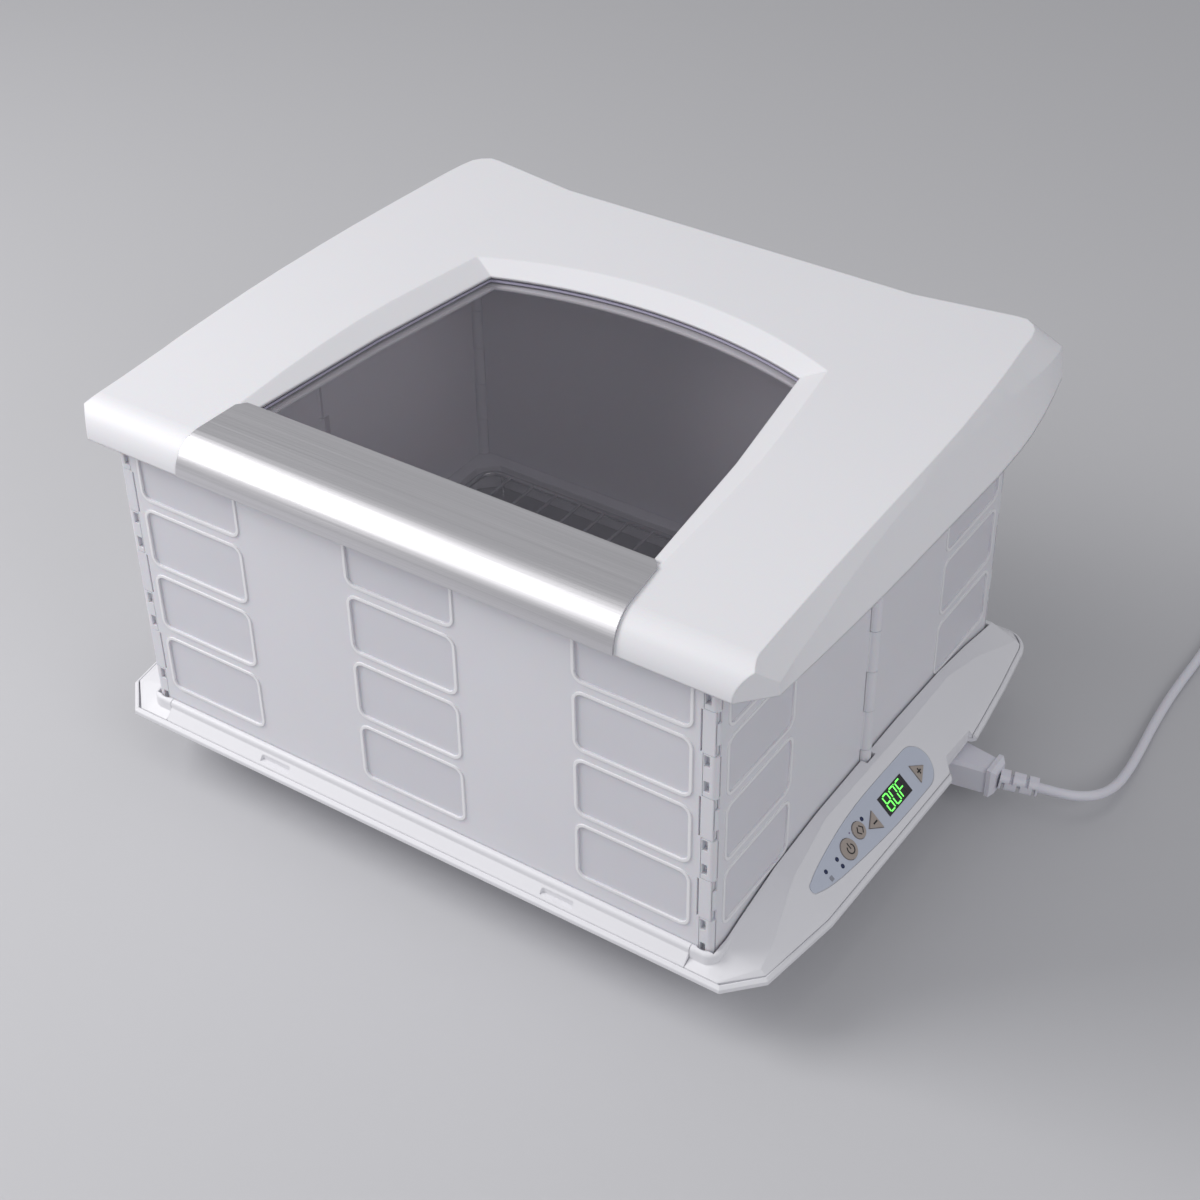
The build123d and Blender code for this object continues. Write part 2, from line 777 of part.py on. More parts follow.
def make_front_or_rear():
    """A long panel lying along X with its outer face at y = 0, facing -Y."""
    seam = corner_axis_x - knuckle_front - corner_gap
    panel = box(-seam, seam, 0, panel_thickness, 0, panel_height)
    panel = fillet(panel.edges().filter_by(Axis.X).group_by(Axis.Z)[-1], 0.8)
    outer = wall_x - front_cell_margin - front_cell_width / 2
    for x in (-outer, 0, outer):
        panel = add_cells(panel, x, front_cell_width)
    for side in (-1, 1):
        axis = side * corner_axis_x
        for index in levels(True):
            panel -= corner_socket(axis, index, knuckle_gap)
        for index in levels(False):
            low, high = level_span(index)
            tip = axis + side * corner_barrel_radius
            piece = box(axis - side * (knuckle_front + corner_gap), tip, 0, corner_inset, low, high)
            piece = fillet(piece.edges().filter_by(Axis.Z).group_by(Axis.Y)[0].sort_by(Axis.X)[-1 if side > 0 else 0], 0.5)
            panel += piece + rod(axis, corner_inset, low, high, corner_barrel_radius)
            x0 = axis - side * (long_slit_offset + slit_width / 2)
            panel -= box(x0, x0 + side * slit_width, -1, slit_depth, low + slit_end, high - slit_end)
        panel -= rod(axis, corner_inset, -1, panel_height + 1, pin_radius + pin_clearance)
    return panel


def rounded_end(piece):
    """A piece with the vertical edge at the walls' outer corner rounded."""
    edge = piece.edges().filter_by(Axis.Z).group_by(Axis.X)[0].group_by(Axis.Y)[0]
    return fillet(edge, corner_rounding)


def make_side_half(holds_mid_even):
    """Half a side wall along X, its outer face at y = 0: corner hinge at -X and mid hinge at +X."""
    length = mid_y_span
    end = length - mid_barrel_radius - knuckle_reach
    panel = rounded_end(box(-corner_inset, end, 0, panel_thickness, 0, panel_height))
    panel = fillet(panel.edges().group_by(Axis.Z)[-1], 0.8)
    centre = side_cell_margin - corner_inset + side_cell_width / 2
    panel = add_cells(panel, centre, side_cell_width)
    lip = corner_inset - corner_barrel_radius - corner_gap
    seam = corner_inset + knuckle_front
    hole_y = seam - square_hole_side
    for index in levels(False):
        low, high = level_span(index)
        panel -= corner_socket(0, index, knuckle_gap)
        panel -= box(-2 * corner_inset, 0, lip, 2 * seam, low - knuckle_gap, high + knuckle_gap)
    for index in levels(True):
        low, high = level_span(index)
        panel += rounded_end(box(-corner_inset, 0, 0, seam, low, high))
        panel += rod(0, corner_inset, low, high, corner_barrel_radius)
        upper = high - square_hole_top - square_hole_height
        for z in (upper, low + square_hole_bottom):
            panel -= box(-corner_inset - 1, -corner_inset + square_hole_depth, hole_y - square_hole_width, hole_y,
                         z, z + square_hole_height)
        panel -= box(-side_slit_offset - slit_width / 2, -side_slit_offset + slit_width / 2, -1, slit_depth,
                     low + slit_end, high - slit_end)
        for z0, z1 in ((low - slot_height, low), (high, high + slot_height)):
            if z0 > 0 and z1 < panel_height:
                panel -= box(-slot_offset - slot_width / 2, -slot_offset + slot_width / 2, -1, lip + 0.05, z0, z1)
    panel += mid_knuckles(length, -fold_gap, end, holds_mid_even)
    if holds_mid_even:
        for z in mid_slot_heights:
            x1 = end - mid_slot_reach
            panel -= box(x1 - mid_slot_width, x1, -1, mid_slot_depth, z, z + mid_slot_height)
    panel -= rod(0, corner_inset, -1, panel_height + 1, pin_radius + pin_clearance)
    panel -= rod(length, -fold_gap, -1, panel_height + 1, pin_radius + pin_clearance)
    return panel


mid_y_span = (rear_axis_y - front_axis_y) / 2


def make_pin(x, y):
    pin = rod(x, y, panel_bottom_z + 1.0, panel_top_z - 1.0, pin_radius)
    return chamfer(pin.edges().group_by(Axis.Z)[0], 0.3)


# ---- controls ----

def control_plane():
    low, high = rim_side[1], rim_side[2]
    lean = (high[0] - low[0]) / (high[1] - low[1])
    rim = low[0] + lean * (control_y - low[1]) - rim_land - cover_gap
    origin = (rim - control_from_rim, control_y, rim_top_z + slope_rise * control_from_rim)
    normal = Vector(slope_rise, -lean * slope_rise, 1).normalized()
    return Plane(origin, x_dir=(lean, 1, 0), z_dir=normal)


def on_controls(u, v, height=0.0):
    """A place on the control face: u runs to the rear, v down the slope, height along its normal."""
    return control_plane() * Pos(u, -v, height)


def overlay_face(grow):
    radius = overlay_radius + grow
    rear = overlay_length_rear
    tip = overlay_tip_u - grow
    half = overlay_tip_half + grow
    middle = -overlay_centre_v
    with BuildSketch() as sketch:
        with BuildLine():
            arc = ThreePointArc((rear, middle + radius), (rear + radius, middle), (rear, middle - radius))
            left = Spline((rear, middle + radius), (-45, middle + radius - 0.7), (-78, middle + 8.0 + grow),
                          (tip, middle + half), tangents=[(-1, 0), (-1, -0.35)])
            right = Spline((rear, middle - radius), (-21, middle - radius + 0.4), (-64, middle - 9.4 - grow),
                           (tip, middle - half), tangents=[(-1, 0), (-1, 0.4)])
            tip_arc = ThreePointArc((tip, middle + half), (tip - half * 0.9, middle), (tip, middle - half))
        make_face()
    return sketch.sketch


def button_outline(kind, grow):
    if kind == "power":
        return Pos(power_u, -power_v) * Circle(power_radius + grow)
    if kind == "mode":
        return Pos(mode_u, -mode_v) * Circle(mode_radius + grow)
    point = 1 if kind == "plus" else -1
    base = plus_u if kind == "plus" else minus_u
    corners = [(base, -arrow_v - arrow_half), (base + point * arrow_length, -arrow_v), (base, -arrow_v + arrow_half)]
    face = Face(Wire(Polyline(*corners, close=True)))
    return offset(Sketch() + face, amount=grow, kind=Kind.ARC) if grow else Sketch() + face


def on_face(sketch, low, high):
    """A sketch on the control face, made solid between two heights."""
    plane = control_plane()
    return extrude(plane.offset(low) * sketch, high - low, dir=plane.z_dir)


def lamp_places():
    return [(-39.8, -17.5), (-72.7, -13.2), (-72.4, -8.2), (-84.5, -13.4), (-84.2, -8.4)]


def display_sketch(grow):
    return Pos(display_u, -display_v) * Rectangle(display_length + 2 * grow, display_width + 2 * grow)


button_kinds = ("power", "mode", "minus", "plus")


def control_cuts():
    cuts = on_face(overlay_face(overlay_gap), -overlay_thickness - 0.05, 6)
    cuts += on_face(display_sketch(0.2), -6, 6)
    for kind in button_kinds:
        cuts += on_face(button_outline(kind, button_gap + 0.2), -6, 6)
    for u, v in lamp_places():
        cuts += on_face(Pos(u, -v) * Circle(lamp_radius + 0.1), -6, 6)
    return cuts


def make_overlay():
    sheet = on_face(overlay_face(0), -overlay_thickness, 0)
    sheet -= on_face(display_sketch(0.1), -1, 1)
    for kind in button_kinds:
        sheet -= on_face(button_outline(kind, button_gap), -1, 1)
    for u, v in lamp_places():
        sheet -= on_face(Pos(u, -v) * Circle(lamp_radius + 0.1), -1, 1)
    return sheet


def make_display():
    return on_face(display_sketch(0), -display_depth, 0.1)


def digit_segments(text, u0):
    """Bars of a seven-segment digit; it reads along u with its top towards the wall."""
    h = digit_height / 2
    w = digit_width / 2
    length = h - segment_width * 0.9
    bars = {"top": (0, h, w * 2 - segment_width * 1.6, 0), "middle": (0, 0, w * 2 - segment_width * 1.6, 0),
            "bottom": (0, -h, w * 2 - segment_width * 1.6, 0), "upper_left": (-w, h / 2, length, 1),
            "upper_right": (w, h / 2, length, 1), "lower_left": (-w, -h / 2, length, 1),
            "lower_right": (w, -h / 2, length, 1)}
    shown = {"8": list(bars), "0": [b for b in bars if b != "middle"],
             "F": ["top", "middle", "upper_left", "lower_left"]}[text]
    pieces = []
    for name in shown:
        along_u, up, size, upright = bars[name]
        shape = Rectangle(segment_width, size) if upright else Rectangle(size, segment_width)
        shape = Pos(u0 + along_u + up * digit_slant, up - display_v) * shape
        pieces.append(on_face(shape, 0.1, 0.1 + segment_thickness))
    return pieces


def make_digits():
    pieces = []
    for index, text in enumerate("80F"):
        pieces += digit_segments(text, display_u + (index - 1) * digit_pitch)
    dot = Pos(display_u + digit_pitch * 0.5, digit_height / 2 - display_v) * Circle(segment_width * 0.45)
    pieces.append(on_face(dot, 0.1, 0.1 + segment_thickness))
    return Compound(children=pieces)


def make_button(kind):
    low = -button_depth
    cap = on_face(button_outline(kind, 0), low, button_proud)
    top = [e for e in cap.edges() if on_height(e) > button_proud - 0.05]
    return fillet(top, 0.45)


def on_height(edge):
    local = control_plane().to_local_coords(edge.center())
    return local.Z


def make_lamps():
    return Compound(children=[on_face(Pos(u, -v) * Circle(lamp_radius), -1.6, 0.1) for u, v in lamp_places()])


def make_board():
    middle_u = (overlay_tip_u + overlay_length_rear) / 2 + 4
    sketch = Pos(middle_u, -overlay_centre_v) * Rectangle(board_length, board_width)
    return on_face(sketch, -board_gap - board_thickness, -board_gap)


def make_display_module():
    sketch = display_sketch(-1.0)
    return on_face(sketch, -board_gap, -display_depth - 0.1)


def make_switches():
    places = [(power_u, power_v), (mode_u, mode_v), (minus_u - arrow_length / 3, arrow_v),
              (plus_u + arrow_length / 3, arrow_v)]
    low = -board_gap
    high = -button_depth - button_travel - 0.3
    pieces = []
    for u, v in places:
        pieces.append(on_face(Pos(u, -v) * Rectangle(switch_size, switch_size), low, high))
    return Compound(children=pieces)


# ---- lid ----

def lid_top_z(y):
    return along(y, lid_stations, 5)


def lid_side_x(y, z):
    foot, fold_x, fold_z, top, top_z = [along(y, lid_stations, column) for column in (1, 2, 3, 4, 5)]
    if z <= fold_z:
        return foot + (fold_x - foot) * (z - lid_bottom_z) / (fold_z - lid_bottom_z)
    return fold_x + (top - fold_x) * (z - fold_z) / (top_z - fold_z)


def lid_front_at(z):
    """The front edge rolls down with one radius."""
    rise = min(max(z - lid_roll_z, 0), lid_roll_radius)
    return lid_roll_y - math.sqrt(lid_roll_radius ** 2 - rise ** 2)


def lid_plan(inset):
    """Outline of the lid's ends; wide at the sides, which the sections trim."""
    wide = 2 * wall_x
    foot = lid_stations[1][1]
    rear = lid_rear_y
    right = [(lid_front_corner_x, lid_front_y), (foot, lid_front_corner_y), (wide, lid_front_corner_y),
             (wide, lid_rear_corner_y), (lid_side_x(lid_rear_corner_y, lid_bottom_z), lid_rear_corner_y),
             (lid_rear_x, rear), (lid_rear_dip_x + lid_rear_dip_run, rear), (lid_rear_dip_x, rear - lid_rear_dip)]
    return inset_polygon(mirrored(right), inset)


def lid_solid(inset, low):
    """The lid's body down to a height, or its hollow when inset is over 0."""
    wires = []
    for y, foot, fold_x, fold_z, top_x, top_z in lid_stations:
        right = [(foot - inset, low), (fold_x - inset, fold_z - 0.5 * inset), (top_x - 0.5 * inset, top_z - inset)]
        loop = right + [(-x, z) for x, z in reversed(right)]
        wires.append(Wire(Polyline(*[(x, y, z) for x, z in loop], close=True)))
    body = Solid.make_loft(wires, ruled=True) & prism(lid_plan(inset), low, panel_top_z + 50)
    roll = Pos(0, lid_roll_y, lid_roll_z) * Rot(0, 90, 0) * Cylinder(lid_roll_radius - inset, 4 * wall_x)
    corner = box(-2 * wall_x, 2 * wall_x, 2 * lid_front_y, lid_roll_y, lid_roll_z, panel_top_z + 100)
    return body - (corner - roll)


def window_face(grow, z, front_grow=None):
    front = window_front_y - (grow if front_grow is None else front_grow)
    with BuildSketch(Plane.XY.offset(z)) as sketch:
        with BuildLine():
            Polyline((-window_rear_half - grow, window_rear_y + 0.4 * grow), (-window_mid_half - grow, window_mid_y),
                     (-window_front_half - grow, front), (window_front_half + grow, front),
                     (window_mid_half + grow, window_mid_y), (window_rear_half + grow, window_rear_y + 0.4 * grow))
            ThreePointArc((window_rear_half + grow, window_rear_y + 0.4 * grow), (0, window_apex_y + grow),
                          (-window_rear_half - grow, window_rear_y + 0.4 * grow))
        make_face()
    return sketch.sketch


def window_solid(grow, z0, z1):
    return extrude(window_face(grow, z0), z1 - z0)


lid_roll_y = lid_front_y + lid_roll_radius
lid_roll_z = lid_top_z(lid_roll_y) - lid_roll_radius
pane_top_z = lid_top_z(window_front_y) - window_drop
pane_bottom_z = pane_top_z - pane_thickness
liner_bottom_z = panel_top_z + liner_gap
liner_top_z = liner_bottom_z + liner_thickness


def lid_screw_places():
    return [(-180.0, -130.0), (180.0, -130.0), (-180.0, 0.0), (180.0, 0.0), (-170.0, 130.0), (170.0, 130.0)]


def make_lid_shell():
    outer = lid_solid(0, lid_bottom_z)
    body = outer - lid_solid(lid_skin, lid_bottom_z - 1)
    highest = max(station[5] for station in lid_stations)
    body += window_solid(window_surround, pane_bottom_z, highest) & outer
    slope = loft([window_face(0, pane_top_z, 0).face(), window_face(window_surround, highest, window_front_slope).face()],
                 ruled=True)
    body -= slope
    body -= window_solid(0, pane_bottom_z - 10, highest)
    body -= window_solid(pane_flange + pane_gap, pane_bottom_z - 10, pane_bottom_z + 0.8)
    for x, y in lid_screw_places():
        boss = rod(x, y, liner_top_z + 0.2, lid_top_z(y) - 1.0, boss_radius)
        body += boss
        body -= rod(x, y, panel_top_z, lid_top_z(y) - lid_skin, screw_radius + 0.02)
    return biggest(body)


def liner_outline():
    """The lid's hollow at the liner's height, less a margin."""
    margin = lid_skin + liner_inset
    right = [(lid_front_corner_x - margin, lid_front_at(liner_top_z) + margin)]
    rear = lid_rear_corner_y - margin
    places = [station[0] for station in lid_stations[1:] if station[0] < rear - margin] + [rear]
    right += [(lid_side_x(y, liner_top_z) - margin, y) for y in places]
    right[1] = (right[1][0], lid_front_corner_y + margin)
    right.append((lid_rear_x - margin, lid_rear_y - lid_rear_dip - margin))
    return mirrored(right)


def make_liner():
    plate = prism(liner_outline(), liner_bottom_z, liner_top_z)
    plate -= window_solid(-gasket_width, 200, 300)
    lip_x = wall_x + lid_lip_gap
    front = wall_front_y - lid_lip_gap
    rear = wall_rear_y + lid_lip_gap
    width = lid_lip_width
    low = panel_top_z - lid_lip_depth
    ring = box(-lip_x - width, lip_x + width, front - width, rear + width, low, liner_bottom_z + 0.5)
    ring -= box(-lip_x, lip_x, front, rear, 0, 300)
    half = mid_barrel_radius + 2.0
    ring -= box(-300, 300, wall_centre_y - half, wall_centre_y + half, 0, liner_bottom_z)
    plate += ring
    for x, y in lid_screw_places():
        plate -= rod(x, y, 200, 300, screw_radius + 0.2)
        plate -= rod(x, y, 200, liner_bottom_z + 1.0, screw_head_radius + 0.2)
    return plate


def make_lid_screws():
    pieces = []
    for x, y in lid_screw_places():
        head = rod(x, y, liner_bottom_z, liner_bottom_z + 1.0, screw_head_radius)
        pieces.append(head + rod(x, y, liner_bottom_z + 0.5, lid_top_z(y) - lid_skin - 0.5, screw_radius))
    return Compound(children=pieces)


def make_outer_pane():
    pane = window_solid(-pane_gap, pane_bottom_z, pane_top_z)
    pane += window_solid(pane_flange, pane_bottom_z - 0.6, pane_bottom_z + 0.6)
    return pane


def make_inner_pane():
    low = liner_top_z + 0.1
    return window_solid(pane_flange - 1.0, low, low + inner_pane_thickness)


def make_gasket():
    low = liner_top_z + 0.1 + inner_pane_thickness
    high = pane_bottom_z - 0.6
    ring = window_solid(pane_flange - 1.0, low, high)
    return ring - window_solid(pane_flange - 1.0 - gasket_width, low - 1, high + 1)


def make_handle():
    """A bent strip that wraps over the lid's front edge and slopes down to the window."""
    inner = lid_roll_radius + handle_standoff
    outer = inner + handle_thickness
    diagonal = math.sqrt(0.5)
    run = window_front_slope
    drop = max(station[5] for station in lid_stations) - pane_top_z
    fall = Vector(run, -drop).normalized()
    lift = Vector(drop, run).normalized()
    bend_z = lid_top_z(window_front_y - run / 2)
    bend = Vector(window_front_y - run * (bend_z - pane_top_z) / drop, bend_z)
    under = bend + lift * handle_standoff
    over = bend + lift * (handle_standoff + handle_thickness)
    foot_z = lid_bottom_z + 0.5
    with BuildSketch(Plane.YZ.offset(-handle_front_half)) as sketch:
        with BuildLine():
            Polyline((under.X, under.Y), (lid_roll_y, lid_roll_z + inner))
            ThreePointArc((lid_roll_y, lid_roll_z + inner),
                          (lid_roll_y - inner * diagonal, lid_roll_z + inner * diagonal),
                          (lid_roll_y - inner, lid_roll_z))
            Polyline((lid_roll_y - inner, lid_roll_z), (lid_roll_y - inner, foot_z),
                     (lid_roll_y - outer, foot_z), (lid_roll_y - outer, lid_roll_z))
            ThreePointArc((lid_roll_y - outer, lid_roll_z),
                          (lid_roll_y - outer * diagonal, lid_roll_z + outer * diagonal),
                          (lid_roll_y, lid_roll_z + outer))
            low = under + fall * handle_bevel
            high = over + fall * handle_bevel
            Polyline((lid_roll_y, lid_roll_z + outer), (over.X, over.Y), (high.X, high.Y), (low.X, low.Y),
                     (under.X, under.Y))
        make_face()
    strip = extrude(sketch.sketch, 2 * handle_front_half, dir=(1, 0, 0))
    front = lid_front_y - 5
    rear = high.X
    half = handle_rear_half
    right = [(handle_front_half, front), (half, rear - handle_corner), (half - handle_corner, rear + 1)]
    plan = right + [(-x, y) for x, y in reversed(right)]
    return strip & prism(plan, lid_bottom_z, panel_top_z + 50)


# ---- mains inlet and lead ----

def make_inlet():
    body = box(inlet_face_x - inlet_depth, inlet_face_x, inlet_y - inlet_width / 2, inlet_y + inlet_width / 2,
               inlet_z - inlet_height / 2, inlet_z + inlet_height / 2)
    gap = plug_clearance
    hollow = box(inlet_face_x - connector_nose - gap, inlet_face_x + 1,
                 inlet_y - connector_width / 2 - gap, inlet_y + connector_width / 2 + gap,
                 inlet_z - connector_height / 2 - gap, inlet_z + connector_height / 2 + gap)
    return body - hollow


def pin_offsets():
    return [(-6.0, 1.5), (6.0, 1.5), (0.0, -3.0)]


def make_inlet_pins():
    back = inlet_face_x - connector_nose - plug_clearance
    pieces = []
    for dy, dz in pin_offsets():
        y = inlet_y + dy
        z = inlet_z + dz
        pieces.append(box(back, back + inlet_pin_length, y - inlet_pin_thickness / 2,
                          y + inlet_pin_thickness / 2, z - inlet_pin_width / 2, z + inlet_pin_width / 2))
    return Compound(children=pieces)


def make_connector():
    x0 = inlet_face_x - connector_nose
    x1 = inlet_face_x + connector_body
    low = inlet_z - connector_height / 2
    high = inlet_z + connector_height / 2
    near = inlet_face_x + connector_gap
    body = box(x0, near + 1, inlet_y - connector_width / 2, inlet_y + connector_width / 2, low, high)
    body = fillet(body.edges().filter_by(Axis.X), 1.5)
    grip = prism([(near, inlet_y - grip_width / 2), (x1, inlet_y - grip_end_width / 2),
                  (x1, inlet_y + grip_end_width / 2), (near, inlet_y + grip_width / 2)], low, high)
    top = grip.faces().sort_by(Axis.Z)[-1].edges().sort_by(Axis.X)[1:3]
    grip = chamfer(top, grip_chamfer)
    half = grip_end_width / 2 + collar_grow
    collar = box(x1, x1 + collar_length, inlet_y - half, inlet_y + half, low - collar_grow, high + collar_grow)
    collar = chamfer(collar.edges().group_by(Axis.X)[-1], collar_slope)
    body += grip + collar
    gap = connector_gap
    for dy, dz in pin_offsets():
        y = inlet_y + dy
        z = inlet_z + dz
        body -= box(x0 - 1, x0 + inlet_pin_length + 1, y - inlet_pin_thickness / 2 - gap,
                    y + inlet_pin_thickness / 2 + gap, z - inlet_pin_width / 2 - gap, z + inlet_pin_width / 2 + gap)
    return body


def relief_direction():
    turn = math.radians(relief_turn)
    drop = math.radians(relief_drop)
    return Vector(math.cos(turn) * math.cos(drop), math.sin(turn) * math.cos(drop), -math.sin(drop))


def relief_at(start, direction, length):
    """A square sleeve, slit by turns from below and from above so that it bends."""
    across = Vector(-direction.Y, direction.X, 0).normalized()
    plane = Plane(start, x_dir=across, z_dir=direction)
    first = plane * RectangleRounded(relief_width, relief_width, relief_corner)
    last = plane.offset(length) * RectangleRounded(relief_end_width, relief_end_width, relief_corner)
    sleeve = loft([first.face(), last.face()])
    for index in range(relief_slits):
        at = length * (index + 0.5) / relief_slits
        if index % 2 == 0:
            low, high = -relief_width, relief_low_reach
        else:
            low, high = relief_high_reach, relief_width
        slit = Pos(0, (low + high) / 2, at) * Box(2 * relief_width, high - low, relief_slit_width)
        sleeve -= plane * slit
    core = extrude(plane * Circle(cord_diameter / 2 + 0.1), length)
    return sleeve + core


relief_start = Vector(inlet_face_x + connector_body + collar_length, inlet_y, inlet_z)

# Middle line of the lead from its sleeve to the coil
cord_points = [
    (289.0, 79.7, 24.2),
    (299.0, 89.0, 20.6),
    (304.5, 103.5, 15.0),
    (306.5, 118.5, 10.8),
    (306.0, 138.0, 6.6),
    (304.0, 162.0, 3.9),
    (301.0, 192.0, 3.1),
    (299.5, 228.0, 3.1),
    (300.5, 268.0, 3.1),
    (300.0, 306.0, 3.1),
]
outer_turn = coil_turn_radius + cord_diameter / 2
coil_centre = (cord_points[-1][0] + outer_turn, cord_points[-1][1] + 36.0)


def cord_route():
    start = relief_start + relief_direction() * relief_length
    points = [tuple(start)] + cord_points
    points.append((cord_points[-1][0], coil_centre[1], cord_diameter / 2 + 0.1))
    return points


def cord_tube(points):
    """Straight runs joined by tangent arcs, each as large as its two runs allow."""
    radii = []
    vectors = [Vector(*p) for p in points]
    for a, b, c in zip(vectors, vectors[1:], vectors[2:]):
        turn = math.radians((b - a).get_angle(c - b))
        shorter = min((b - a).length, (c - b).length)
        radii.append(0.45 * shorter / math.tan(turn / 2))
    path = FilletPolyline(*points, radius=radii)
    start = Plane(points[0], z_dir=(vectors[1] - vectors[0]))
    tube = sweep(start * Circle(cord_diameter / 2), path=path)
    print("cord arcs", [round(r) for r in radii])
    print("cord runs", [round((b - a).length) for a, b in zip(vectors, vectors[1:])])
    section = math.pi * cord_diameter ** 2 / 4
    print("cord length", round(path.length), "volume ratio", round(tube.volume / (section * path.length), 4))
    return tube


def make_coil():
    half = cord_diameter * coil_strands / 2
    height = cord_diameter * coil_layers + 0.2
    x, y = coil_centre
    ring = rod(x, y, 0.1, height, coil_turn_radius + half)
    ring = fillet(ring.edges(), cord_diameter * 0.45)
    return ring - rod(x, y, -1, height + 1, coil_turn_radius - half)


def make_tie():
    x, y = coil_centre
    half = cord_diameter * coil_strands / 2
    height = cord_diameter * coil_layers + 0.2
    y0 = y + coil_turn_radius - half - tie_thickness
    y1 = y + coil_turn_radius + half + tie_thickness
    band = box(x - tie_width / 2, x + tie_width / 2, y0 - 0.3, y1, 0.05, height + tie_thickness)
    hole = rod(x, y, -1, height + 0.05, coil_turn_radius + half + 0.05)
    hole -= rod(x, y, -2, height + 1, coil_turn_radius - half - 0.05)
    return band - hole


floor_z = cord_diameter / 2 + 0.1
top_turn_z = floor_z + cord_diameter * (coil_layers - 1)
tail_x = coil_centre[0] + outer_turn

# Middle line of the lead from the top of the coil down to the plug
tail_points = [
    (tail_x, coil_centre[1] - 8.0, top_turn_z - 0.6),
    (tail_x, coil_centre[1] - 22.0, top_turn_z - 5.0),
    (tail_x, coil_centre[1] - 38.0, floor_z + 1.0),
    (tail_x, coil_centre[1] - 50.0, floor_z),
]
tail_end_y = tail_points[-1][1]


def make_tail():
    return cord_tube(tail_points)


plug_relief_length = 22.0
plug_z = mains_plug_height / 2 + 0.1


def make_mains_plug():
    """The moulded plug with its tapered sleeve."""
    start = Plane((tail_x, tail_end_y, floor_z), z_dir=(0, -1, 0))
    end = Plane((tail_x, tail_end_y - plug_relief_length, plug_z), z_dir=(0, -1, 0))
    sleeve = loft([start * Circle(cord_diameter / 2 + 0.05), end * Circle(6.0)])
    y1 = tail_end_y - plug_relief_length
    body = box(tail_x - mains_plug_width / 2, tail_x + mains_plug_width / 2, y1 - mains_plug_length, y1,
               plug_z - mains_plug_height / 2, plug_z + mains_plug_height / 2)
    body = fillet(body.edges().filter_by(Axis.Y), 3.5)
    return body + sleeve


def make_plug_blades():
    y1 = tail_end_y - plug_relief_length - mains_plug_length
    pieces = []
    for side in (-1, 1):
        x = tail_x + side * blade_spacing / 2
        pieces.append(box(x - blade_thickness / 2, x + blade_thickness / 2, y1 - blade_length, y1,
                          plug_z - 2 - blade_width / 2, plug_z - 2 + blade_width / 2))
    ground = Pos(tail_x, y1 - ground_length / 2, plug_z + 5) * Rot(90, 0, 0) * Cylinder(ground_radius, ground_length)
    pieces.append(ground)
    return Compound(children=pieces)


# ---- boards in the base ----

board_x = 150.0
board_z = foot_height + shell_wall + 2.5
board_y = -60.0


def make_power_board():
    return box(board_x - 16, board_x - 16 + power_board_width, board_y - power_board_length / 2,
               board_y + power_board_length / 2, board_z, board_z + board_thickness)


def make_transformer():
    z = board_z + board_thickness
    half = transformer_size / 2
    core = box(board_x - half, board_x + half, board_y - 34, board_y - 34 + transformer_size, z, z + 9)
    return fillet(core.edges().filter_by(Axis.Z), 1.5)


def make_capacitor():
    z = board_z + board_thickness
    return rod(board_x, board_y + 6, z, z + capacitor_height, capacitor_radius)


def make_relay():
    z = board_z + board_thickness
    half = relay_size / 2
    return box(board_x - half, board_x + half, board_y + 20, board_y + 20 + relay_size, z, z + 8)


def make_wires():
    """Leads from the inlet to the power board."""
    pieces = []
    for index, dy in enumerate((-6.0, 6.0)):
        x0 = inlet_face_x - inlet_depth
        y0 = inlet_y + dy
        y1 = board_y + power_board_length / 2 - 4
        x1 = board_x - 4 + 5 * index
        z1 = board_z + board_thickness
        z0 = inlet_z - wire_inlet_drop
        points = [(x0 - 0.1, y0, z0), (plate_x - wire_side, y0, z0),
                  (plate_x - pad_inset - 2, y0 - 8, z0 - wire_bend_drop), (x1, y0 - 20, z1 + 3 + index * 3),
                  (x1, y1 + 12, z1 + 3), (x1, y1, z1 + 1.6)]
        path = FilletPolyline(*points, radius=1.5)
        start = Plane(points[0], z_dir=Vector(*points[1]) - Vector(*points[0]))
        pieces.append(sweep(start * Circle(wire_radius), path=path))
    return Compound(children=pieces)


save(make_housing(), "base_housing")
save(make_cover(), "base_cover")
save(make_front_strip(), "front_strip")
for name, (x, y) in foot_places().items():
    save(make_foot(x, y), name)
save(make_screws(), "housing_screws")
save(make_plate(), "heating_plate")
save(make_element(), "heating_element")
save(make_pad(), "insulation_pad")
save(make_sensor(), "temperature_sensor")
save(make_cutoff(), "thermal_cutoff")
save(make_tray(), "water_tray")
save(make_rack(), "wire_rack")

front = Pos(0, wall_front_y, panel_bottom_z) * make_front_or_rear()
save(front, "front_panel")
save(Pos(0, wall_rear_y, panel_bottom_z) * Rot(0, 0, 180) * make_front_or_rear(), "rear_panel")
front_half = make_side_half(False)
rear_half = make_side_half(True)
right_front = Pos(wall_x, front_axis_y, panel_bottom_z) * Rot(0, 0, 90) * front_half
right_rear = Pos(wall_x, rear_axis_y, panel_bottom_z) * Rot(0, 0, 90) * mirror(rear_half, Plane.YZ)
save(right_front, "right_front_panel")
save(right_rear, "right_rear_panel")
save(mirror(right_front, Plane.YZ), "left_front_panel")
save(mirror(right_rear, Plane.YZ), "left_rear_panel")
for side, word in ((-1, "left"), (1, "right")):
    save(make_pin(side * corner_axis_x, front_axis_y), "front_" + word + "_hinge_pin")
    save(make_pin(side * corner_axis_x, rear_axis_y), "rear_" + word + "_hinge_pin")
    save(make_pin(side * mid_axis_x, wall_centre_y), "mid_" + word + "_hinge_pin")

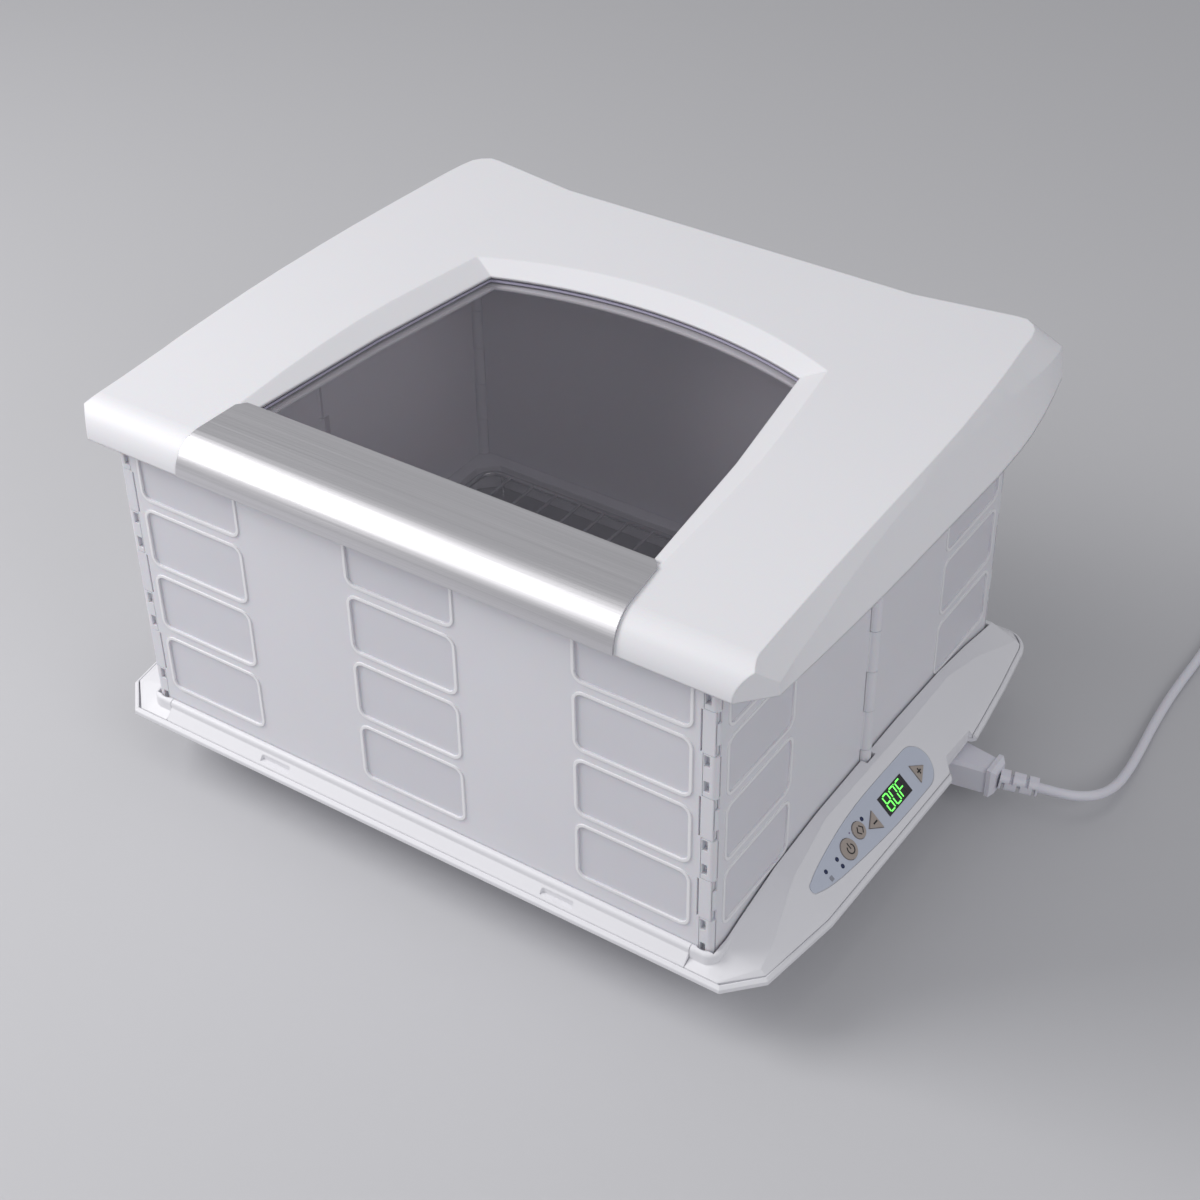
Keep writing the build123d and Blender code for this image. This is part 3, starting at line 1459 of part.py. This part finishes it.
save(make_overlay(), "control_overlay")
save(make_display(), "display_lens")
save(make_digits(), "display_digits")
save(make_display_module(), "display_module")
save(make_lamps(), "indicator_lamps")
save(make_board(), "control_board")
save(make_switches(), "tact_switches")
for kind in button_kinds:
    save(make_button(kind), kind + "_button")

save(make_lid_shell(), "lid_shell")
save(make_liner(), "lid_liner")
save(make_lid_screws(), "lid_screws")
save(make_outer_pane(), "outer_window")
save(make_inner_pane(), "inner_window")
save(make_gasket(), "window_gasket")
save(make_handle(), "handle_strip")

save(make_inlet(), "inlet_socket")
save(make_inlet_pins(), "inlet_pins")
save(make_power_board(), "power_board")
save(make_transformer(), "transformer")
save(make_capacitor(), "capacitor")
save(make_relay(), "relay")
save(make_wires(), "inlet_wires")
save(make_connector(), "cord_connector")
save(relief_at(relief_start, relief_direction(), relief_length), "strain_relief")
save(cord_tube(cord_route()), "power_cord")
save(make_coil(), "cord_coil")
save(make_tie(), "cord_tie")
save(make_tail(), "cord_tail")
save(make_mains_plug(), "mains_plug")
save(make_plug_blades(), "plug_blades")
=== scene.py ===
import math
import bpy
import bmesh
from mathutils import Matrix, Vector


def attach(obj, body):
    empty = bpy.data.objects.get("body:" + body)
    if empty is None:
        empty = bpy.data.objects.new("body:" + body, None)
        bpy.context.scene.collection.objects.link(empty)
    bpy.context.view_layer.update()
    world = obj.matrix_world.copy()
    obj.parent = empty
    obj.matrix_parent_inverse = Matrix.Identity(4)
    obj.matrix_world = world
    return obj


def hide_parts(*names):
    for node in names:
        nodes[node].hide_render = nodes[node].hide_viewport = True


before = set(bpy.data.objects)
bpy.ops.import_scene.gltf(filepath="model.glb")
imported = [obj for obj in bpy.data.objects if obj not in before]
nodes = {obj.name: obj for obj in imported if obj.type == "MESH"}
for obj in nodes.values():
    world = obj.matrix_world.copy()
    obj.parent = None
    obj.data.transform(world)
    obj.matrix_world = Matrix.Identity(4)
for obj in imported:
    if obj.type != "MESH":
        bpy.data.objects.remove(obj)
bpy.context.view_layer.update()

scene = bpy.context.scene


# camera, lights and floor
view = {"place": (0.593757, -0.857216, 0.909945), "lens": 65.685, "sensor": 36.0,
        "near": 0.05, "far": 50.0,
        "right": (0.83270312, 0.55361311, -0.01086437),
        "down": (0.33250446, -0.51562492, -0.78966558),
        "forward": (-0.44277116, 0.65394454, -0.61344131)}
lights = {
    "key": {"place": (-1.3, -0.85, 1.35), "target": (0, 0, 0.15), "size": (1.2, 1.0),
            "power": 25, "colour": (1.0, 0.992, 0.985)},
    "side": {"place": (1.55, -0.55, 1.15), "target": (0, 0, 0.12), "size": (1.0, 0.8),
             "power": 6.0, "colour": (0.98, 0.985, 1.0)},
    "top": {"place": (0.0, -0.35, 1.5), "target": (0, 0.05, 0.1), "size": (0.7, 0.5),
            "power": 1.3, "colour": (1.0, 0.985, 0.97)},
}
stage = {"reach": 20.0, "height": -0.0002,  # the floor lies just under the feet
         "colour": (0.56, 0.56, 0.58), "rough": 0.8,
         "sky": (0.97, 0.975, 1.0), "skyPower": 0.42}


def makeCamera():
    data = bpy.data.cameras.new("camera")
    data.sensor_fit = "HORIZONTAL"
    data.sensor_width = view["sensor"]
    data.lens = view["lens"]
    data.clip_start = view["near"]
    data.clip_end = view["far"]
    camera = bpy.data.objects.new("camera", data)
    scene.collection.objects.link(camera)
    right, down, forward = (Vector(view[key]) for key in ("right", "down", "forward"))
    turn = Matrix((right, -down, -forward)).transposed()
    camera.matrix_world = Matrix.Translation(Vector(view["place"])) @ turn.to_4x4()
    scene.camera = camera


def makeLight(name, light):
    data = bpy.data.lights.new(name, "AREA")
    data.shape = "RECTANGLE"
    data.size, data.size_y = light["size"]
    data.energy = light["power"]
    data.color = light["colour"]
    lamp = bpy.data.objects.new(name, data)
    place = Vector(light["place"])
    turn = (Vector(light["target"]) - place).to_track_quat("-Z", "Y").to_matrix()
    lamp.matrix_world = Matrix.Translation(place) @ turn.to_4x4()
    scene.collection.objects.link(lamp)


def makeStage():
    data = bpy.data.meshes.new("floor")
    reach = stage["reach"]
    corners = [(-reach, -reach), (reach, -reach), (reach, reach), (-reach, reach)]
    data.from_pydata([(*corner, stage["height"]) for corner in corners], [], [(0, 1, 2, 3)])
    floor = bpy.data.objects.new("floor", data)
    scene.collection.objects.link(floor)
    material = bpy.data.materials.new("floor")
    material.use_nodes = True
    surface = material.node_tree.nodes["Principled BSDF"]
    surface.inputs["Base Color"].default_value = (*stage["colour"], 1)
    surface.inputs["Roughness"].default_value = stage["rough"]
    data.materials.append(material)
    world = bpy.data.worlds.new("studio")
    world.use_nodes = True
    background = world.node_tree.nodes["Background"]
    background.inputs["Color"].default_value = (*stage["sky"], 1)
    background.inputs["Strength"].default_value = stage["skyPower"]
    scene.world = world


scene.view_settings.view_transform = "Standard"
makeCamera()
makeStage()
for name, light in lights.items():
    makeLight(name, light)
print("stage ready")


# materials: what a look leaves out comes from plain
plain = {"stretch": (1, 1, 1), "cloud": 18, "cloudDetail": 4, "change": 0.03, "rough": 0.4,
         "roughSpread": 0.05, "roughFrom": 0.3, "roughTo": 0.7, "grain": 900, "grainDetail": 3,
         "bump": 0.15, "depth": 0.0001, "soften": 0, "softenSamples": 6, "metal": 0, "coat": 0,
         "inner": 0, "innerReach": 0.002, "glowColour": (0, 0, 0), "glow": 0}


def makeMaterial(name, chosen):
    look = {**plain, **chosen}
    material = bpy.data.materials.new(name)
    material.use_nodes = True
    tree = material.node_tree
    link = tree.links.new
    surface = tree.nodes["Principled BSDF"]
    coords = tree.nodes.new("ShaderNodeTexCoord")
    spread = tree.nodes.new("ShaderNodeMapping")
    spread.inputs["Scale"].default_value = look["stretch"]
    link(coords.outputs["Object"], spread.inputs["Vector"])
    cloud = tree.nodes.new("ShaderNodeTexNoise")
    cloud.inputs["Scale"].default_value = look["cloud"]
    cloud.inputs["Detail"].default_value = look["cloudDetail"]
    link(spread.outputs[0], cloud.inputs["Vector"])
    shade = tree.nodes.new("ShaderNodeMix")
    shade.data_type = "RGBA"
    colour, change = look["colour"], look["change"]
    shade.inputs[6].default_value = (*[c * (1 - change) for c in colour], 1)  # its two colours
    shade.inputs[7].default_value = (*[min(1, c * (1 + change)) for c in colour], 1)
    link(cloud.outputs["Fac"], shade.inputs[0])
    link(shade.outputs[2], surface.inputs["Base Color"])
    polish = tree.nodes.new("ShaderNodeMapRange")
    polish.inputs["From Min"].default_value = look["roughFrom"]
    polish.inputs["From Max"].default_value = look["roughTo"]
    polish.inputs["To Min"].default_value = look["rough"] - look["roughSpread"]
    polish.inputs["To Max"].default_value = look["rough"] + look["roughSpread"]
    grain = tree.nodes.new("ShaderNodeTexNoise")
    grain.inputs["Scale"].default_value = look["grain"]
    grain.inputs["Detail"].default_value = look["grainDetail"]
    link(spread.outputs[0], grain.inputs["Vector"])
    link(grain.outputs["Fac"], polish.inputs["Value"])
    link(polish.outputs[0], surface.inputs["Roughness"])
    bump = tree.nodes.new("ShaderNodeBump")
    bump.inputs["Strength"].default_value = look["bump"]
    bump.inputs["Distance"].default_value = look["depth"]
    link(grain.outputs["Fac"], bump.inputs["Height"])
    if look["soften"] > 0:
        edge = tree.nodes.new("ShaderNodeBevel")
        edge.samples = look["softenSamples"]
        edge.inputs["Radius"].default_value = look["soften"]
        link(edge.outputs[0], bump.inputs["Normal"])
    link(bump.outputs[0], surface.inputs["Normal"])
    surface.inputs["Metallic"].default_value = look["metal"]
    surface.inputs["Coat Weight"].default_value = look["coat"]
    surface.inputs["Subsurface Weight"].default_value = look["inner"]
    surface.inputs["Subsurface Scale"].default_value = look["innerReach"]
    surface.inputs["Emission Color"].default_value = (*look["glowColour"], 1)
    surface.inputs["Emission Strength"].default_value = look["glow"]
    return material


def makeClear(name, look):
    material = bpy.data.materials.new(name)
    material.use_nodes = True
    tree = material.node_tree
    link = tree.links.new
    out = tree.nodes["Material Output"]
    surface = tree.nodes["Principled BSDF"]
    surface.inputs["Base Color"].default_value = (*look["colour"], 1)
    surface.inputs["Roughness"].default_value = look["rough"]
    through = tree.nodes.new("ShaderNodeBsdfTransparent")
    through.inputs["Color"].default_value = (*look["tint"], 1)
    both = tree.nodes.new("ShaderNodeMixShader")
    both.inputs[0].default_value = look["solid"]
    link(through.outputs[0], both.inputs[1])
    link(surface.outputs[0], both.inputs[2])
    link(both.outputs[0], out.inputs["Surface"])
    coords = tree.nodes.new("ShaderNodeTexCoord")
    wave = tree.nodes.new("ShaderNodeTexNoise")
    wave.inputs["Scale"].default_value = look["wave"]
    link(coords.outputs["Object"], wave.inputs["Vector"])
    bump = tree.nodes.new("ShaderNodeBump")
    bump.inputs["Strength"].default_value = look["bump"]
    bump.inputs["Distance"].default_value = look["depth"]
    link(wave.outputs["Fac"], bump.inputs["Height"])
    link(bump.outputs[0], surface.inputs["Normal"])
    return material


looks = {
    "lidWhite": {"colour": (0.80, 0.797, 0.83), "rough": 0.42, "grain": 1500, "bump": 0.12,
                 "depth": 0.00005, "soften": 0.0016, "change": 0.012, "cloud": 9,
                 "inner": 0.05, "innerReach": 0.003},
    "wallWhite": {"colour": (0.755, 0.75, 0.795), "rough": 0.40, "grain": 1800, "bump": 0.10,
                  "depth": 0.00004, "soften": 0.0005, "change": 0.02, "cloud": 14,
                  "inner": 0.12, "innerReach": 0.004},
    # cell floors: the wall colour darkened as painted shade in the recesses
    "cellPaintedShade": {"colour": (0.69, 0.685, 0.735), "rough": 0.36, "grain": 1800, "bump": 0.10,
                  "depth": 0.00004, "soften": 0.0005, "change": 0.03, "cloud": 10,
                  "inner": 0.12, "innerReach": 0.004},
    # bead borders: the wall colour lightened as a painted highlight on the raised beads
    "beadPaintedHighlight": {"colour": (0.88, 0.875, 0.90), "rough": 0.34, "grain": 1800, "bump": 0.08,
                  "depth": 0.00004, "soften": 0.0006, "change": 0.02, "cloud": 14},
    "baseWhite": {"colour": (0.80, 0.797, 0.83), "rough": 0.45, "grain": 1500, "bump": 0.12,
                  "depth": 0.00005, "soften": 0.0008, "change": 0.015, "cloud": 12},
    "rubber": {"colour": (0.08, 0.08, 0.085), "rough": 0.75, "grain": 700, "bump": 0.3,
               "soften": 0.0004},
    "brushed": {"colour": (0.70, 0.692, 0.715), "rough": 0.43, "roughSpread": 0.09, "metal": 1,
                "grain": 50, "stretch": (0.12, 45, 45), "bump": 0.3, "depth": 0.00002,
                "change": 0.12, "cloud": 32, "soften": 0.0005},
    "steel": {"colour": (0.50, 0.50, 0.50), "rough": 0.30, "metal": 1, "soften": 0.0002},
    "chrome": {"colour": (0.62, 0.62, 0.62), "rough": 0.18, "metal": 1, "grain": 500,
               "bump": 0.05},
    "plate": {"colour": (0.50, 0.50, 0.51), "rough": 0.38, "metal": 1, "grain": 500,
              "bump": 0.1, "cloud": 30, "change": 0.06},
    "tray": {"colour": (0.55, 0.55, 0.56), "rough": 0.30, "metal": 1, "grain": 400,
             "soften": 0.0004},
    "element": {"colour": (0.30, 0.27, 0.25), "rough": 0.5, "metal": 1},
    "felt": {"colour": (0.70, 0.68, 0.62), "rough": 0.95, "grain": 1200, "bump": 0.8,
             "depth": 0.0004, "change": 0.15},
    "brass": {"colour": (0.62, 0.46, 0.20), "rough": 0.30, "metal": 1, "soften": 0.0002},
    "darkPlastic": {"colour": (0.035, 0.035, 0.04), "rough": 0.45, "soften": 0.0003},
    "film": {"colour": (0.56, 0.60, 0.70), "rough": 0.36, "grain": 2500, "bump": 0.08,
             "depth": 0.00003, "change": 0.02},
    "screen": {"colour": (0.006, 0.006, 0.008), "rough": 0.14, "coat": 0.6, "bump": 0.02,
               "soften": 0.0002},
    "digit": {"colour": (0.10, 0.60, 0.10), "glow": 1.6, "glowColour": (0.16, 1.0, 0.12)},
    "taupe": {"colour": (0.40, 0.345, 0.31), "rough": 0.42, "grain": 1500, "soften": 0.0003},
    "lamp": {"colour": (0.02, 0.03, 0.09), "rough": 0.25, "soften": 0.0001},
    "board": {"colour": (0.02, 0.16, 0.07), "grain": 400, "change": 0.2},
    "copper": {"colour": (0.55, 0.25, 0.10), "rough": 0.35, "metal": 1, "stretch": (1, 1, 30)},
    "wireRed": {"colour": (0.30, 0.03, 0.02), "rough": 0.45},
    "gasket": {"colour": (0.58, 0.56, 0.72), "rough": 0.7, "soften": 0.0002},
    "cordWhite": {"colour": (0.74, 0.735, 0.80), "rough": 0.42, "bump": 0.12, "soften": 0.0006,
                  "inner": 0.08},
    "ink": {"colour": (0.012, 0.012, 0.014), "rough": 0.5, "bump": 0.05},
    "dim": {"colour": (0.040, 0.024, 0.036), "rough": 0.3, "bump": 0.02},
    "lampGrey": {"colour": (0.30, 0.31, 0.36), "rough": 0.35, "bump": 0.05},
    "lampPurple": {"colour": (0.20, 0.14, 0.28), "rough": 0.35, "bump": 0.05},
    "tieBlack": {"colour": (0.02, 0.02, 0.02), "rough": 0.5, "soften": 0.0003},
}
pane = {"colour": (0.30, 0.30, 0.34), "rough": 0.06, "tint": (0.985, 0.98, 0.985), "solid": 0.05,
        "wave": 14, "bump": 0.05, "depth": 0.0003}
materials = {name: makeMaterial(name, look) for name, look in looks.items()}
materials["clear"] = makeClear("clear", pane)

dressing = {
    "lidWhite": ["lid_shell", "lid_liner"],
    "wallWhite": ["front_panel", "rear_panel", "right_front_panel", "right_rear_panel",
                  "left_front_panel", "left_rear_panel"],
    "baseWhite": ["base_housing", "base_cover", "front_strip"],
    "rubber": ["front_left_foot", "front_right_foot", "rear_left_foot", "rear_right_foot"],
    "brushed": ["handle_strip"],
    "steel": ["housing_screws", "lid_screws", "front_left_hinge_pin", "front_right_hinge_pin",
              "rear_left_hinge_pin", "rear_right_hinge_pin", "mid_left_hinge_pin",
              "mid_right_hinge_pin"],
    "chrome": ["wire_rack"],
    "plate": ["heating_plate"],
    "tray": ["water_tray"],
    "element": ["heating_element"],
    "felt": ["insulation_pad"],
    "brass": ["temperature_sensor", "inlet_pins", "plug_blades"],
    "darkPlastic": ["thermal_cutoff", "display_module", "tact_switches", "inlet_socket",
                    "capacitor", "relay"],
    "film": ["control_overlay"],
    "screen": ["display_lens"],
    "digit": ["display_digits"],
    "taupe": ["power_button", "mode_button", "minus_button", "plus_button"],
    "lamp": ["indicator_lamps"],
    "board": ["control_board", "power_board"],
    "copper": ["transformer"],
    "wireRed": ["inlet_wires"],
    "clear": ["outer_window", "inner_window"],
    "gasket": ["window_gasket"],
    "cordWhite": ["cord_connector", "strain_relief", "mains_plug"],
    "tieBlack": ["cord_tie"],
}
for name, group in dressing.items():
    for node in group:
        slots = nodes[node].data.materials
        slots.clear()
        slots.append(materials[name])


def smoothNormals(piece, limit):  # faces that meet at under the limit shade as one
    mesh = piece.data
    corners = {}
    for face in mesh.polygons:
        weighted = face.normal * face.area
        for loop in face.loop_indices:
            place = mesh.vertices[mesh.loops[loop].vertex_index].co
            spot = (round(place.x, 6), round(place.y, 6), round(place.z, 6))
            corners.setdefault(spot, []).append((loop, face.normal, weighted))
    normals = [None] * len(mesh.loops)
    least = math.cos(math.radians(limit))
    for group in corners.values():
        for loop, normal, weighted in group:
            total = Vector()
            for other in group:
                if normal.dot(other[1]) > least:
                    total += other[2]
            normals[loop] = total.normalized() if total.length > 0 else normal
    mesh.shade_smooth()
    mesh.normals_split_custom_set(normals)


# walls: painted shade darkens the recessed cells, and a painted highlight brightens their raised
# borders
walls = {"front_panel": (1, -1, 0.168), "rear_panel": (1, 1, 0.162),  # axis, side and outer face
         "right_front_panel": (0, 1, 0.195), "right_rear_panel": (0, 1, 0.195),
         "left_front_panel": (0, -1, 0.195), "left_rear_panel": (0, -1, 0.195)}
# bands measured off the outer face: bead faces get the painted highlight, facing cell floors get
# the painted shade
cells = {"bead": (0.0001, 0.0008), "floor": (-0.0009, -0.0005), "facing": 0.9}


def paintWallShadeAndHighlight():
    for node, (axis, side, place) in walls.items():
        mesh = nodes[node].data
        mesh.materials.append(materials["cellPaintedShade"])
        mesh.materials.append(materials["beadPaintedHighlight"])
        for polygon in mesh.polygons:
            out = side * polygon.center[axis] - place
            facing = side * polygon.normal[axis] > cells["facing"]
            # raised bead faces take the painted-highlight material, recessed cell floors facing
            # out take the painted-shade material
            if cells["bead"][0] < out < cells["bead"][1]:
                polygon.material_index = 2
            elif cells["floor"][0] < out < cells["floor"][1] and facing:
                polygon.material_index = 1


paintWallShadeAndHighlight()
smooth = {"lid_shell": 16, "base_cover": 14, "base_housing": 16, "handle_strip": 12,
          "front_strip": 20}  # degrees
for node, limit in smooth.items():
    smoothNormals(nodes[node], limit)
print("materials ready")


# mains lead
lead = {
    "width": 0.006, "length": 1.30, "turns": 4.5, "perTurn": 18, "centre": (0.336, 0.342),
    "start": 180, "smooth": 6,
    "route": [(0.27313, 0.07545, 0.0256), (0.289, 0.0797, 0.0242), (0.299, 0.089, 0.0206),
              (0.3045, 0.1035, 0.015), (0.3065, 0.1185, 0.0108), (0.306, 0.138, 0.0066),
              (0.304, 0.162, 0.0039), (0.301, 0.192, 0.0031), (0.2995, 0.228, 0.0031),
              (0.3005, 0.268, 0.0031), (0.300, 0.306, 0.0031)],
    "turnTable": [(0, 0.036, 0.0031), (300, 0.036, 0.0031),  # degrees turned, radius, height
                  (350, 0.030, 0.0031), (605, 0.030, 0.0031), (650, 0.030, 0.0091),
                  (920, 0.030, 0.0091), (970, 0.036, 0.0091), (1235, 0.036, 0.0091),
                  (1280, 0.036, 0.0151), (1620, 0.036, 0.0151)],
    "tail": [(0.372, 0.334, 0.0145), (0.372, 0.320, 0.0101), (0.372, 0.304, 0.0041),
             (0.372, 0.292, 0.0031)],
    "onLead": ["cord_tie", "mains_plug", "plug_blades", "strain_relief", "cord_connector"],
}


def between(table, value):
    for low, high in zip(table, table[1:]):
        if value <= high[0]:
            share = (value - low[0]) / (high[0] - low[0])
            return [a + (b - a) * share for a, b in zip(low[1:], high[1:])]
    return table[-1][1:]


def makeLead():
    points = list(lead["route"])
    step = 360 / lead["perTurn"]
    for index in range(int(lead["turns"] * lead["perTurn"]) + 1):
        turned = index * step
        radius, height = between(lead["turnTable"], turned)
        angle = math.radians(lead["start"] - turned)
        x, y = lead["centre"]
        points.append((x + radius * math.cos(angle), y + radius * math.sin(angle), height))
    points += lead["tail"]
    data = bpy.data.curves.new("mainsLead", "CURVE")
    data.dimensions = "3D"
    spline = data.splines.new("NURBS")
    spline.points.add(len(points) - 1)
    for point, place in zip(spline.points, points):
        point.co = (*place, 1)
    spline.order_u = 3
    spline.use_endpoint_u = True
    spline.resolution_u = lead["smooth"]
    data.bevel_depth = lead["width"] / 2
    data.bevel_resolution = lead["smooth"]
    data.materials.append(materials["cordWhite"])
    piece = bpy.data.objects.new("mainsLead", data)
    scene.collection.objects.link(piece)
    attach(piece, "cord_set")
    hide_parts("power_cord", "cord_coil", "cord_tail")


makeLead()
print("lead ready")


# marks on the control face: u runs to the rear and v down the slope, in millimetres
face = {"origin": (0.2285426, -0.0004, 0.05024), "lean": 0.0185714, "rise": 0.9,
        "thick": 0.00008, "sharpest": 0.4,
        "cap": 0.0009, "glass": 0.0001, "sheet": 0.00001}  # how far each surface stands out


def faceAxes():
    along = Vector((face["lean"], 1, 0)).normalized()
    up = Vector((face["rise"], -face["lean"] * face["rise"], 1)).normalized()
    return along, up.cross(along), up


def makeMark(name, body, lines, width, height, look):  # thin strokes along (u, v) lines
    along, across, up = faceAxes()
    mesh = bmesh.new()
    for line in lines:
        closed = line[0] == line[-1]
        spots = [Vector(spot) for spot in (line[:-1] if closed else line)]
        count = len(spots)
        rings = []
        for index, spot in enumerate(spots):
            before = spots[index - 1] if closed or index else spot
            after = spots[(index + 1) % count] if closed or index < count - 1 else spot
            first = (spot - before).normalized() if spot != before else (after - spot).normalized()
            second = (after - spot).normalized() if after != spot else first
            tangent = (first + second).normalized()
            mitre = Vector((-tangent.y, tangent.x)) * (width / 2)
            mitre /= max(face["sharpest"], tangent.dot(first))
            ring = []
            for side, lift in ((1, 0), (1, 1), (-1, 1), (-1, 0)):
                flat = spot + side * mitre
                place = Vector(face["origin"]) + along * flat.x / 1000 - across * flat.y / 1000
                ring.append(mesh.verts.new(place + up * (height + lift * face["thick"])))
            rings.append(ring)
        pairs = list(zip(rings, rings[1:])) + ([(rings[-1], rings[0])] if closed else [])
        for low, high in pairs:
            for side in range(4):
                mesh.faces.new((low[side], low[(side + 1) % 4], high[(side + 1) % 4], high[side]))
        if not closed:
            mesh.faces.new(rings[0][::-1])
            mesh.faces.new(rings[-1])
    bmesh.ops.recalc_face_normals(mesh, faces=mesh.faces)
    data = bpy.data.meshes.new(name)
    mesh.to_mesh(data)
    mesh.free()
    data.materials.append(materials[look])
    piece = bpy.data.objects.new(name, data)
    scene.collection.objects.link(piece)
    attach(piece, body)
    return piece


def arcLine(centre, radius, start, end, steps):
    line = []
    for index in range(steps + 1):
        angle = math.radians(start + (end - start) * index / steps)
        line.append((centre[0] + radius * math.sin(angle), centre[1] - radius * math.cos(angle)))
    return line


def levelLine(u, v, half):
    return [(u - half, v), (u + half, v)]


power = {"centre": (-60.6, -11.3), "radius": 2.7, "gap": 38, "steps": 22, "bar": (-15.2, -11.2),
         "width": 0.75}
powerLines = [arcLine(power["centre"], power["radius"], power["gap"], 360 - power["gap"],
                      power["steps"]),
              [(power["centre"][0], place) for place in power["bar"]]]
makeMark("powerMark", "power_button", powerLines, power["width"], face["cap"],
         "ink")

mode = {"centre": (-46.6, -14.3), "point": 2.7, "inner": 0.7, "half": 2.4, "width": 0.7}
modeLines = []
for side in (-1, 1):
    u, v = mode["centre"]
    modeLines.append([(u + side * mode["inner"], v - mode["half"]),
                      (u + side * mode["point"], v),
                      (u + side * mode["inner"], v + mode["half"])])
makeMark("modeMark", "mode_button", modeLines, mode["width"], face["cap"],
         "ink")

signs = {"minus": -33.9, "plus": 17.4, "v": -10.5, "half": 1.9, "width": 0.95}
dash = levelLine(signs["minus"], signs["v"], signs["half"])
makeMark("minusMark", "minus_button", [dash], signs["width"], face["cap"],
         "ink")
cross = [levelLine(signs["plus"], signs["v"], signs["half"]),
         [(signs["plus"], signs["v"] + side * signs["half"]) for side in (-1, 1)]]
makeMark("plusMark", "plus_button", cross, signs["width"], face["cap"], "ink")

digits = {"middle": (-8.5, -11.9), "pitch": 7.3, "half": 2.4, "slant": 0.12, "flat": 1.8,
          "upright": 2.06, "width": 0.7}


def barLine(digit, across, up, upright):  # one unlit bar of a digit
    u = digits["middle"][0] + (digit - 1) * digits["pitch"] + across + up * digits["slant"]
    v = digits["middle"][1] - up
    reach = (0, digits["upright"]) if upright else (digits["flat"], 0)
    return [(u - reach[0], v - reach[1]), (u + reach[0], v + reach[1])]


unlit = [barLine(1, 0, 0, False),
         barLine(2, digits["half"], digits["half"], True),
         barLine(2, digits["half"], -digits["half"], True),
         barLine(2, 0, -2 * digits["half"], False)]
makeMark("unlitBars", "base", unlit, digits["width"], face["glass"], "dim")

squareLamp = {"centre": (-84.2, -8.4), "half": 1.35}
makeMark("squareLamp", "base", [levelLine(*squareLamp["centre"], squareLamp["half"])],
         2 * squareLamp["half"], face["glass"], "lampGrey")
smallLamp = {"centre": (-53.7, -17.6), "half": 0.5, "width": 0.9}
makeMark("smallLamp", "base", [levelLine(*smallLamp["centre"], smallLamp["half"])],
         smallLamp["width"], face["sheet"], "lampPurple")
print("marks ready")
